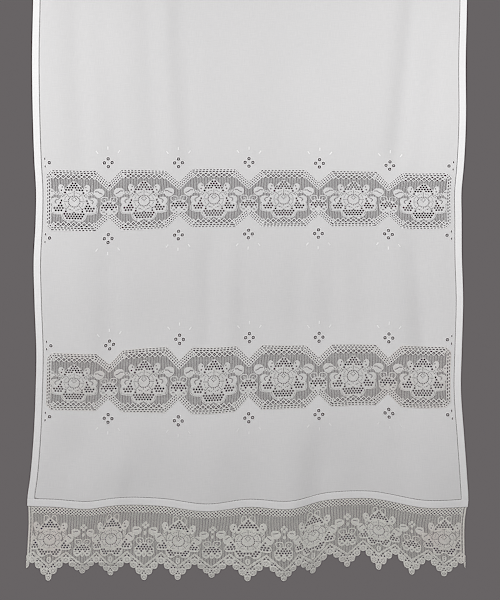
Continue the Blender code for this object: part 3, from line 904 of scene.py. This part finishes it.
def make_band(name, middle, finishes):
    """One insertion, worked out from its middle: its net and figures, and its cords, rails and rungs."""
    flowers = places_at(medallion_centres(), ROSE_DROP)
    waists = places_at(waist_places(), 0.0)
    inner_end = BAND_END - NET_INSET
    waist_figures = moved(bell(), 0.0, WAIST_BELL_DOWN)
    repeat = moved(medallion_figures(), 0.0, ROSE_DROP)
    for side in (-1, 1):
        repeat += moved(waist_figures, side * MEDALLION_PITCH / 2, 0.0)

    def wanted_at(points):
        across, down = points.T
        folded = np.stack([across % MEDALLION_PITCH - MEDALLION_PITCH / 2, down], axis=1)
        beside_strip = np.abs(across[:, None] - medallion_centres()).min(axis=1) > STRIP_REACH
        on_slant = beside_strip & (np.abs(across) < BAND_END - 2 * BAND_END_CHAMFER)
        below_strip = np.abs(down) < BAND_HALF_HEIGHT - LOZENGE_TOP - LOZENGE_DEPTH + NET_LAP
        in_chain = inside(points, chain_outline(NET_INSET)) & (beside_strip | below_strip)
        in_chain &= ~on_slant | inside(points, chain_outline(RAILS[-1]))
        return in_chain & outside_figures(folded, repeat)

    parts = worked(medallion_figures(), flowers) + worked(waist_figures, waists)
    parts = [cut_at(part, inner_end) for part in parts]
    parts += net(-inner_end, inner_end, -NET_REACH_DOWN, NET_REACH_DOWN, wanted_at)
    lace = hung_object(name + "_net_and_figures", lowered(parts, middle), finishes)

    parts = [cut_at(repeated(cord, flowers), inner_end) for cord in medallion_cords()] + ladder()
    parts += [repeated(cord, waists) for cord in bell_cords(WAIST_BELL_DOWN, WAIST_BELL_DOWN)]
    at_top = places_at(medallion_centres(), -BAND_HALF_HEIGHT)
    for cord in lozenge_strip():
        parts += [repeated(cord, at_top), repeated(mirrored(cord, 1), at_top * (1, -1))]
    return lace, hung_object(name + "_cords", lowered(parts, middle), finishes)


# Edging, measured from the seam

FLOWER_DOWN = 62.0
FAN_BELL_DOWN = 70.0
FAN_SCROLL_DOWN = 69.0
VALLEY_DOWN = VALLEY - SEAM
BRAID_VALLEY = 86.0
BRAID_TIP = 111.0
ZONE_SPLIT = 24.1
EDGING_HALF = 399.6
HEADING_TOP = 1.6
HEADING_DEPTH = 5.8
HEADING_PITCH = 6.2
END_RUNGS = 394.0
END_RUNG_TOP = 3.0
END_RUNG_FOOT = 101.0
NET_HEAD = 4.6


def scallop_profile(from_point):
    """How far the outline reaches below the valley line: the lowest of its round coins."""
    reach = np.full_like(from_point, -2 * COIN_RADIUS)
    for coin_across, coin_down, radius in COINS:
        for side in (-1, 1):
            off = (from_point - side * coin_across) / radius
            low = coin_down + radius * np.sqrt(np.maximum(1 - off * off, 0.0))
            reach = np.where(np.abs(off) < 1, np.maximum(reach, low), reach)
    slope_across, slope_down, _ = np.array(sorted(COINS)).T
    return np.maximum(reach, np.interp(np.abs(from_point), slope_across, slope_down))


def braid_down(across):
    """The level of the zigzag braid above the coins."""
    off = np.abs((across - POINTS_MIDDLE + POINT_PITCH / 2) % POINT_PITCH - POINT_PITCH / 2)
    return BRAID_TIP + (BRAID_VALLEY - BRAID_TIP) * off / (POINT_PITCH / 2)


def coin_holes():
    """Three round holes over each coin, one above two, and a ring of small ones in the coin."""
    places = []
    for coin_across, coin_down, radius in COINS:
        for side in (-1, 1) if coin_across > 0 else (1,):
            x, y = side * coin_across, VALLEY_DOWN + coin_down
            places += [(x, y - 12.0, 1.5, 1.6), (x - 2.7, y - 7.9, 1.5, 1.6), (x + 2.7, y - 7.9, 1.5, 1.6)]
            angle = np.radians(60.0 * np.arange(6) + 30.0)
            ring = 0.48 * radius
            places += [(x + ring * math.cos(a), y + 0.4 + ring * math.sin(a), 0.62, 0.62) for a in angle]
    return np.array(places)


def coin_zone(left, right):
    """The close work between the braid and the scalloped edge, from one place across to another."""
    across = np.linspace(left, right, round((right - left) / 1.2) + 1)
    from_point = (across + POINT_PITCH / 2) % POINT_PITCH - POINT_PITCH / 2
    lower = places_at(across, VALLEY_DOWN + scallop_profile(from_point))
    upper = places_at(across, braid_down(across + POINTS_MIDDLE))
    holes = [coin_holes()]
    slant = math.hypot(BRAID_TIP - BRAID_VALLEY, POINT_PITCH / 2)
    for side in (-1, 1):
        edge = np.array([(side * POINT_PITCH / 2, BRAID_VALLEY), (0.0, BRAID_TIP)]) + (0.0, 3.9)
        holes.append(holes_at(walk(edge, slant / 13)[0], 0.8))
    holes = np.concatenate(holes)
    holes = np.concatenate([holes, holes + (POINT_PITCH, 0, 0, 0)])
    holes = holes[(holes[:, 0] > left + 1.2) & (holes[:, 0] < right - 1.2)]
    holes = np.unique(np.round(holes, 3), axis=0)
    outline = np.concatenate([upper, lower[::-1]])
    return pierced(outline, holes, FIGURE_LEVEL, FIGURE_RELIEF, FIGURE_GRAIN, "cloth")


def edging_cords(points, flowers, fans):
    """The heading, end rails, braid, coin rings, ears, and the scrolls and outlines of the fans."""
    start = places_at(np.arange(-EDGING_HALF + 2.0, EDGING_HALF, HEM_RUNG_PITCH), -0.2)
    parts = [threads(start, start + (0.0, 2.4), 0.6, 0.15, CORD_LEVEL - 0.1)]
    for row in (0, 1):
        top = HEADING_TOP + row * HEADING_DEPTH
        parts += crossed_cords(END_RUNGS - 3.0, top, HEADING_DEPTH, HEADING_PITCH, 1.15)
    for side in (-1, 1):
        for off, half_width in ((2.6, 1.7), (-2.2, 1.0)):
            across = side * (END_RUNGS + off)
            rail = walk([(across, END_RUNG_TOP - 2.0), (across, END_RUNG_FOOT + 2.0)], 4.0)[0]
            parts.append(tube(rail, half_width, 0.36, CORD_LEVEL))
        start = places_at(side * END_RUNGS - 2.2, np.arange(END_RUNG_TOP, END_RUNG_FOOT, HEM_RUNG_PITCH))
        parts.append(threads(start, start + (4.4, 0.0), 0.5, 0.3, CORD_LEVEL - 0.1))
    half_pitch = POINT_PITCH / 2
    one_pitch = np.array([(-half_pitch, BRAID_VALLEY), (0.0, BRAID_TIP), (half_pitch, BRAID_VALLEY)])
    for shift in (-1.6, 0.6):
        braid = walk(one_pitch + (0.0, shift), 2.0)[0]
        parts.append(repeated(tube(braid, 0.75, 0.4, CORD_LEVEL + 0.1), points))
    for coin_across, coin_down, radius in COINS:
        for side in (-1, 1) if 0 < coin_across < half_pitch else (1,):
            centre = (side * coin_across, VALLEY_DOWN + coin_down)
            ring = egg(centre, radius - 0.75, radius - 0.75, count=20)
            parts.append(repeated(tube(ring, 0.75, 0.3, CORD_LEVEL, closed=True, sides=5), points))
    ear = [(11.5, -33.0), (11.5, -44.0), (7.0, -46.5), (2.8, -44.0), (2.2, -38.5)]
    parts += [repeated(cord, flowers) for cord in cord_pair(ear, 0.75, 0.05, FLOWER_DOWN, 0.4)]
    parts += [repeated(cord, fans) for cord in bell_cords(FAN_SCROLL_DOWN, FAN_BELL_DOWN)]
    return parts


def make_edging(finishes):
    """The edging: its net, its figures and coins, and its cords."""
    numbers = np.arange(-8, 9)
    points = places_at(POINTS_MIDDLE + POINT_PITCH * numbers, 0.0)
    flowers, fans = points[numbers % 2 == 0], points[numbers % 2 == 1]
    flower_figures = moved(edging_rose_figures(), 0.0, FLOWER_DOWN)
    fan_figures = edging_fan_figures()
    repeat = list(flower_figures)
    for side in (-1, 1):
        repeat += moved(fan_figures, side * POINT_PITCH, 0.0)

    def wanted_at(places):
        across, down = places.T
        folded = (across - POINTS_MIDDLE + POINT_PITCH) % (2 * POINT_PITCH) - POINT_PITCH
        between = (down < braid_down(across)) & (down > HEADING_TOP + 2 * HEADING_DEPTH - NET_LAP)
        return between & outside_figures(np.stack([folded, down], axis=1), repeat)

    reach = END_RUNGS - 2.0
    parts = [cut_at(part, reach) for part in worked(flower_figures, flowers) + worked(fan_figures, fans)]
    for left, right in ((-ZONE_SPLIT, ZONE_SPLIT), (ZONE_SPLIT, POINT_PITCH - ZONE_SPLIT)):
        parts.append(cut_at(repeated(coin_zone(left, right), points), EDGING_HALF))
    parts += net(-reach, reach, NET_HEAD, BRAID_TIP, wanted_at)
    lace = hung_object("lace_edging_net_and_figures", lowered(parts, SEAM), finishes)
    parts = [cut_at(part, EDGING_HALF) for part in edging_cords(points, flowers, fans)]
    return lace, hung_object("lace_edging_cords", lowered(parts, SEAM), finishes)


# Lawn, hems and pocket

HEM_GAP = 1.15
HEM_STITCH_PITCH = 2.1
CLOTH_SIDE = 400.0
CLOTH_TOP = POCKET_HEIGHT + 0.3
HEM_TOP = SEAM - BOTTOM_HEM
SLIT_ACROSS = 380.4
SLIT_SPREAD = 7.0
SLIT_HALVES = (0.95, 2.5)
# Front, back and rounding of a folded hem's section
SIDE_HEM_FACES = (1.15, -0.5, 0.7)
BOTTOM_HEM_FACES = (1.2, -0.6, 0.8)
SEAM_STITCH_PITCH = 2.6


def eyelet_rows():
    """The levels of the rows of eyelets, and -1 for a row above its lace and 1 for one below."""
    return [(middle + side * EYELETS_FROM_BAND, side) for middle in BANDS.values() for side in (-1, 1)]


def eyelet_places():
    """The flat middles of all drawn eyelets: fours at each waist, and one left of a four at each hem."""
    angle = math.pi / 2 * np.arange(4)
    four = EYELET_SPREAD * np.stack([np.cos(angle), np.sin(angle)], axis=1)
    lone = END_EYELET_ACROSS - EYELET_SPREAD
    places = []
    for down, _ in eyelet_rows():
        places += [four + (waist, down) for waist in waist_places()]
        places.append(places_at(np.array([-lone, lone]), down))
    return np.concatenate(places)


def slit_places():
    """The flat middles of the narrow slits beside the hems, above and below each lone eyelet."""
    return np.array([
        (side * SLIT_ACROSS, down + spread)
        for down, _ in eyelet_rows()
        for side in (-1, 1)
        for spread in (-SLIT_SPREAD, SLIT_SPREAD)
    ])


def make_lawn(finishes):
    """The sheer cloth between the hems, with two windows for the lace and the eyelets' holes."""
    side = CLOTH_SIDE - SIDE_HEM - HEM_GAP
    foot = HEM_TOP - HEM_GAP
    corners = [(-side, CLOTH_TOP), (side, CLOTH_TOP), (side, foot), (-side, foot)]
    outline = walk(corners, CLOTH_STEP, closed=True)[0]
    windows = [
        walk(chain_outline(RAILS[0]) + (0.0, middle), CLOTH_STEP / 2, closed=True)[0]
        for middle in BANDS.values()
    ]
    holes = np.concatenate([holes_at(eyelet_places(), EYELET_RADIUS), holes_at(slit_places(), SLIT_HALVES)])
    cloth = pierced(outline, holes, CLOTH_FORWARD, 0.0, CLOTH_STEP, "lawn", windows, 1.5, 12)
    return hung_object("lawn", [cloth], finishes)


def slab_section(width, front, back, rounding):
    """The closed section of a folded hem: flat front and back with round edges, as (along, forward)."""
    turn = np.radians([-90.0, -45.0, 0.0, 45.0, 90.0])
    half = (front - back) / 2
    right = np.stack([width - rounding + rounding * np.cos(turn), back + half + half * np.sin(turn)], axis=1)
    left = (right * (-1, 1) + (width, 0.0))[::-1]
    inner, outer = rounding + 0.8, width - rounding - 0.8
    return np.concatenate([right, [(outer, front), (inner, front)], left, [(inner, back), (outer, back)]])


def carried(section, places, upright):
    """A hem: its closed section carried down to each of the places, or across to them."""
    shape = (len(places), len(section))
    along = np.broadcast_to(places[:, None], shape)
    aside, forward = (np.broadcast_to(section[:, axis], shape) for axis in (0, 1))
    flat = (aside, along) if upright else (along, aside)
    points = np.stack([*flat, forward], axis=2).reshape(-1, 3)
    triangles = grid_triangles(*shape, False, True)
    return Part(points, triangles[:, ::-1] if upright else triangles, "hem")


def hem_stitches():
    """Fine threads across the drawn line between the sheer cloth and each hem."""
    rows = np.arange(POCKET_HEIGHT + 1.0, HEM_TOP, HEM_STITCH_PITCH)
    inner = CLOTH_SIDE - SIDE_HEM - HEM_GAP
    start = places_at(inner - 0.5, rows)
    upright = threads(start, start + (HEM_GAP + 1.0, 0.0), 0.24, 0.18, CLOTH_FORWARD + 0.1, "stitch")
    start = places_at(np.arange(-inner, inner, HEM_STITCH_PITCH * 1.3), HEM_TOP - HEM_GAP - 0.5)
    level = threads(start, start + (0.3, HEM_GAP + 1.0), 0.24, 0.18, CLOTH_FORWARD + 0.1, "stitch")
    return [upright, mirrored(upright), level]


def make_hems(finishes):
    """The two side hems, the deeper one along the foot above the lace, and their stitches."""
    section = slab_section(SIDE_HEM, *SIDE_HEM_FACES) - (CLOTH_SIDE, 0.0)
    left = carried(section, np.linspace(CLOTH_TOP, HEM_TOP, 200), True)
    section = slab_section(BOTTOM_HEM, *BOTTOM_HEM_FACES) + (HEM_TOP, 0.0)
    foot = carried(section, np.linspace(-CLOTH_SIDE, CLOTH_SIDE, 181), False)
    return hung_object("hems", [left, mirrored(left), foot, *hem_stitches()], finishes)


def make_eyelets(finishes):
    """A satin rim round each drawn eyelet, a small wheel of thread in it, and rays beside the fours."""
    eyelets = eyelet_places()
    rim = tube(egg((0.0, 0.0), 3.8, 3.8, count=18), 0.65, 0.25, 0.7, "satin", closed=True)
    knot = tube(egg((0.0, 0.0), 0.6, 0.6, count=8), 0.5, 0.2, 0.6, "satin", closed=True, sides=5)
    angle = math.pi / 2 * np.arange(4)
    ray = np.stack([np.cos(angle), np.sin(angle)], axis=1)
    spokes = threads(ray * 1.2, ray * 3.2, 0.16, 0.1, 0.6, "satin")
    parts = [repeated(part, eyelets) for part in (rim, knot, spokes)]
    slit = egg((0.0, 0.0), SLIT_HALVES[0] + 0.5, SLIT_HALVES[1] + 0.5, count=18)
    parts.append(repeated(tube(slit, 0.5, 0.3, 0.7, "satin", closed=True), slit_places()))
    rays = [
        ((waist + off, down + side * far), (waist + 1.2 * off, down + side * (far + length)))
        for down, side in eyelet_rows()
        for waist in waist_places()
        for off, far, length in ((0.0, 24.0, 6.0), (-18.6, 17.5, 5.0), (18.6, 17.5, 5.0))
    ]
    parts.append(threads(*zip(*rays), 1.15, 0.18, 0.85, "satin"))
    return hung_object("drawn_eyelets", parts, finishes)


def teardrop_outline(shrink):
    """A round top about the rod's middle and two straight sides that meet below, as (back, down)."""
    radius = POCKET_ROUNDING - shrink
    slope = math.asin(POCKET_ROUNDING / (POCKET_HEIGHT - POCKET_ROUNDING))
    turn = np.linspace(-slope, math.pi + slope, 31)
    top = np.stack([radius * np.cos(turn), POCKET_ROUNDING - radius * np.sin(turn)], axis=1)
    foot = np.array([(0.0, POCKET_ROUNDING + radius / math.sin(slope))])
    return walk(np.concatenate([foot, top, foot]), 2.2)[0]


def make_pocket(finishes):
    """The open rod pocket: a teardrop section carried across, drawn in a little in soft waves, with
    its seam below."""
    section = teardrop_outline(0.5)
    columns = np.linspace(-CLOTH_SIDE + 0.2, CLOTH_SIDE - 0.2, 160)
    wave = 0.35 * np.sin(columns / 17.0) + 0.3 * np.sin(columns / 6.1 + 1.0)
    soft = np.sin(math.pi * np.linspace(0.0, 1.0, len(section))) ** 2
    across = np.broadcast_to(columns[:, None], (len(columns), len(section)))
    down = np.broadcast_to(section[:, 1], across.shape)
    back = section[:, 0] * (1 - 0.02 * np.abs(wave)[:, None] * soft)
    points = np.stack([across, down, -back], axis=2).reshape(-1, 3)
    cloth = Part(points, grid_triangles(len(columns), len(section)), "pocket")
    start = places_at(np.arange(-CLOTH_SIDE + 3.0, CLOTH_SIDE - 3.0, SEAM_STITCH_PITCH), POCKET_HEIGHT - 0.4)
    stitches = threads(start, start + (1.9, 0.0), 0.26, 0.22, 1.2, "stitch")
    return hung_object("pocket_cloth", [cloth, stitches], finishes)


# Materials

def operator(operation):
    """A method that adds a Math node for one operator."""
    def apply(self, other):
        return self.graph.node("ShaderNodeMath", {"operation": operation}, (self, other))
    return apply


class Value:
    """A shader socket's value; arithmetic on it adds Math nodes."""

    def __init__(self, graph, socket):
        self.graph = graph
        self.socket = socket

    __add__ = operator("ADD")
    __sub__ = operator("SUBTRACT")
    __mul__ = operator("MULTIPLY")


class Graph:
    """The node graph of one material, with its Principled shader."""

    def __init__(self, name, roughness):
        self.material = bpy.data.materials.new(name)
        self.material.use_nodes = True
        self.tree = self.material.node_tree
        self.shader = self.tree.nodes["Principled BSDF"]
        self.shader.inputs["Roughness"].default_value = roughness
        self.shader.inputs["Specular IOR Level"].default_value = 0.15

    def connect(self, socket, value):
        if isinstance(value, Value):
            self.tree.links.new(value.socket, socket)
        else:
            socket.default_value = value

    def node(self, kind, settings=None, inputs=(), output=0):
        """Adds a node, sets its settings, then its sockets, and gives one output."""
        made = self.tree.nodes.new(kind)
        for name, value in (settings or {}).items():
            setattr(made, name, value)
        pairs = inputs.items() if isinstance(inputs, dict) else enumerate(inputs)
        for key, value in pairs:
            self.connect(made.inputs[key], value)
        return Value(self, made.outputs[output])

    def flat_place(self):
        return self.node("ShaderNodeAttribute", {"attribute_name": "flat_place"}, output="Vector")

    def world_place(self):
        return self.node("ShaderNodeTexCoord", output="Object")

    def axis(self, vector, name):
        return self.node("ShaderNodeSeparateXYZ", inputs=[vector], output=name)

    def noise(self, place, scale, stretch=(1, 1, 1), detail=2.0):
        stretched = self.node("ShaderNodeVectorMath", {"operation": "MULTIPLY"}, [place, stretch])
        return self.node("ShaderNodeTexNoise", inputs={"Vector": stretched, "Scale": scale, "Detail": detail})

    def blend(self, factor, first, second):
        return self.node("ShaderNodeMix", {"data_type": "RGBA"}, {0: factor, 6: first, 7: second}, output=2)

    def spread(self, value, low, high):
        """0 at the low value, 1 at the high one, and held beyond them."""
        return self.node("ShaderNodeMapRange", inputs={"Value": value, "From Min": low, "From Max": high})

    def bump(self, height, strength, distance):
        inputs = {"Height": height, "Strength": strength, "Distance": distance}
        return self.node("ShaderNodeBump", inputs=inputs)

    def finish(self, **sockets):
        for name, value in sockets.items():
            self.connect(self.shader.inputs[name.replace("_", " ")], value)
        return self.material


THREADS_PER_METRE = 2600.0


def cloth_material(name, light, dark, cover_top, cover_foot):
    """Plain-woven cotton: slubs along both threads, slow crumples, and more cover further down."""
    graph = Graph(name, 0.85)
    place = graph.flat_place()
    slub = (graph.noise(place, 1.0, (60, 900, 1), 3.0) + graph.noise(place, 1.0, (900, 60, 1), 3.0)) * 0.5
    tone = graph.noise(place, 9.0, (1, 0.5, 1))
    base = graph.blend(graph.spread(slub * 0.6 + tone * 0.4, 0.35, 0.65), (*dark, 1), (*light, 1))
    down = graph.axis(place, "Y")
    cover = graph.spread(down, 0.86, 1.06) * (cover_foot - cover_top) + cover_top
    alpha = cover + (slub - 0.5) * 0.10
    wave = {"Vector": place, "Scale": THREADS_PER_METRE / 20}
    level, upright = (graph.node("ShaderNodeTexWave", {"bands_direction": way}, wave) for way in "YX")
    weave = graph.bump((level + upright) * 0.5 + slub, 0.12, 0.0003)
    crumple = graph.noise(place, 1.0, (26, 11, 1), 3.0)
    folds = graph.node(
        "ShaderNodeBump", inputs={"Height": crumple, "Strength": 0.35, "Distance": 0.004, "Normal": weave}
    )
    return graph.finish(Base_Color=base, Alpha=alpha, Normal=folds)


def lace_material(name, light, dark, stain, stitch_pitch, stitch_strength, cover):
    """Cotton lace thread: fine stitches, soft changes of tone, and a stain at the ends if it is ecru."""
    graph = Graph(name, 0.82)
    place = graph.flat_place()
    tone = graph.noise(place, 22.0, detail=3.0)
    fine = graph.noise(place, 420.0, detail=2.0)
    base = graph.blend(graph.spread(tone * 0.6 + fine * 0.4, 0.35, 0.65), (*dark, 1), (*light, 1))
    if stain is not None:
        world = graph.world_place()
        patchy = graph.noise(world, 13.0, detail=3.0)
        far = graph.node("ShaderNodeMath", {"operation": "ABSOLUTE"}, [graph.axis(world, "X")])
        strength = graph.spread(patchy, 0.42, 0.72) * graph.spread(far, 0.12, 0.40) * 0.55
        base = graph.blend(strength, base, (*stain, 1))
    stitch = graph.node(
        "ShaderNodeTexVoronoi", {"feature": "F1"}, {"Vector": place, "Scale": 1000.0 / stitch_pitch}
    )
    normal = graph.bump(stitch + fine * 0.5, stitch_strength, 0.0004)
    alpha = (fine - 0.5) * 0.25 + cover
    return graph.finish(Base_Color=base, Alpha=alpha, Normal=normal)


def make_materials():
    white, shade = (0.90, 0.90, 0.90), (0.86, 0.865, 0.865)
    finishes = {
        "cloth": {
            "lawn": cloth_material("white_lawn_sheer", white, shade, 0.765, 0.87),
            "hem": cloth_material("white_lawn_hem", white, shade, 0.98, 0.98),
            "pocket": cloth_material("white_lawn_pocket", white, shade, 0.80, 0.80),
            "stitch": lace_material("white_sewing_thread", white, shade, None, 0.5, 0.3, 1.0),
            "satin": lace_material("white_satin_stitch", (0.93, 0.93, 0.93), white, None, 0.4, 0.4, 1.0),
        },
    }
    tones = {
        "lace_band_upper": ((0.84, 0.84, 0.84), (0.78, 0.78, 0.78), None),
        "lace_band_lower": ((0.83, 0.83, 0.82), (0.76, 0.76, 0.74), (0.76, 0.68, 0.64)),
        "lace_edging": ((0.90, 0.90, 0.85), (0.81, 0.81, 0.76), (0.85, 0.74, 0.71)),
    }
    for piece, (light, dark, stain) in tones.items():
        finishes[piece] = {
            "net": lace_material(piece + "_net_thread", light, dark, stain, 0.5, 0.3, 0.98),
            "cloth": lace_material(piece + "_close_work", light, dark, stain, 0.9, 0.5, 0.85),
            "cord": lace_material(piece + "_cord", light, dark, stain, 0.6, 0.4, 0.98),
        }
    return finishes


# Stage, light and camera

PHOTO_GREY = (0.138, 0.127, 0.130)
CAMERA_DISTANCE = 3.0
CAMERA_DOWN = 0.8504
VIEW_HEIGHT = 1.109
FLOOR_BELOW_FOOT = 0.40


def make_stage(foot):
    """A pale round floor below the hanging curtain, its rim and its middle in rings."""
    radius = np.linspace(0.0, 1.6, 9)
    angle = np.linspace(0.0, 2 * math.pi, 65)[:-1]
    ring, turn = np.meshgrid(radius[1:], angle, indexing="ij")
    points = np.stack([ring * np.cos(turn), ring * np.sin(turn), np.full_like(ring, foot)], axis=2)
    mesh = bpy.data.meshes.new("floor")
    faces = grid_triangles(len(radius) - 1, len(angle), False, True)[:, ::-1] + 1
    rim = np.arange(len(angle))
    spokes = np.stack([np.zeros(len(angle), int), 1 + rim, 1 + np.roll(rim, -1)], 1)
    points = np.concatenate([[(0.0, 0.0, foot)], points.reshape(-1, 3)])
    mesh.from_pydata(points.tolist(), [], np.concatenate([spokes, faces]).tolist())
    floor = bpy.data.objects.new("floor", mesh)
    bpy.context.scene.collection.objects.link(floor)
    graph = Graph("pale_floor", 0.9)
    grain = graph.noise(graph.world_place(), 40.0)
    tone = graph.blend(grain, (0.62, 0.62, 0.62, 1), (0.68, 0.68, 0.68, 1))
    mesh.materials.append(graph.finish(Base_Color=tone))


def make_light(name, place, power, radius):
    light = bpy.data.lights.new(name, "POINT")
    light.energy = power
    light.shadow_soft_size = radius
    lamp = bpy.data.objects.new(name, light)
    lamp.location = place
    lamp.visible_camera = False
    bpy.context.scene.collection.objects.link(lamp)


def make_lights():
    """A strong lamp far to the left, a weaker one that evens it out on the right, and one behind."""
    make_light("left_light", (-1.0, -0.75, -0.37), 30.0, 0.12)
    make_light("right_light", (0.5, -0.95, -0.38), 26.8, 0.12)
    make_light("back_light", (0.5, 2.2, -0.2), 45.0, 0.4)
    world = bpy.context.scene.world or bpy.data.worlds.new("studio")
    bpy.context.scene.world = world
    world.use_nodes = True
    world.node_tree.nodes["Background"].inputs["Color"].default_value = (*PHOTO_GREY, 1.0)
    world.node_tree.nodes["Background"].inputs["Strength"].default_value = 1.0
    bpy.context.scene.view_settings.view_transform = "Standard"


PRINT_SHARPNESS = 0.21


def make_print():
    """A light sharpening of the finished picture, as the photograph's own print has."""
    scene = bpy.context.scene
    scene.use_nodes = True
    nodes, links = scene.node_tree.nodes, scene.node_tree.links
    nodes.clear()
    layers = nodes.new("CompositorNodeRLayers")
    sharpen = nodes.new("CompositorNodeFilter")
    sharpen.filter_type = "SHARPEN_DIAMOND"
    sharpen.inputs["Fac"].default_value = PRINT_SHARPNESS
    output = nodes.new("CompositorNodeComposite")
    links.new(layers.outputs["Image"], sharpen.inputs["Image"])
    links.new(sharpen.outputs["Image"], output.inputs["Image"])


def make_camera():
    """A level camera, straight in front of the part of the curtain that the photograph shows."""
    data = bpy.data.cameras.new("camera")
    data.sensor_width = 36.0
    data.lens = data.sensor_width * CAMERA_DISTANCE / VIEW_HEIGHT
    camera = bpy.data.objects.new("camera", data)
    camera.location = (0.0, -CAMERA_DISTANCE, -CAMERA_DOWN)
    camera.rotation_euler = (math.pi / 2, 0.0, 0.0)
    bpy.context.scene.collection.objects.link(camera)
    bpy.context.scene.camera = camera


def declare(frame_node, pieces):
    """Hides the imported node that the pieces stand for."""
    for piece in pieces:
        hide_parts(frame_node)


def main():
    for old in list(bpy.data.objects):
        bpy.data.objects.remove(old)
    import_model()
    cad_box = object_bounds()
    finishes = make_materials()
    lawn = make_lawn(finishes["cloth"])
    hems = make_hems(finishes["cloth"])
    eyelets = make_eyelets(finishes["cloth"])
    pocket = make_pocket(finishes["cloth"])
    declare("cloth_panel", [lawn, hems, eyelets])
    declare("rod_pocket", [pocket])
    bands = {
        "lace_band_upper": "white_lace",
        "lace_band_lower": "ecru_lace",
    }
    for name, slot in bands.items():
        pieces = make_band(name, BANDS[name], finishes[name])
        declare(name, pieces)
    pieces = make_edging(finishes["lace_edging"])
    declare("lace_edging", pieces)
    make_stage(cad_box[0][2] - FLOOR_BELOW_FOOT)
    make_lights()
    make_camera()
    make_print()


main()
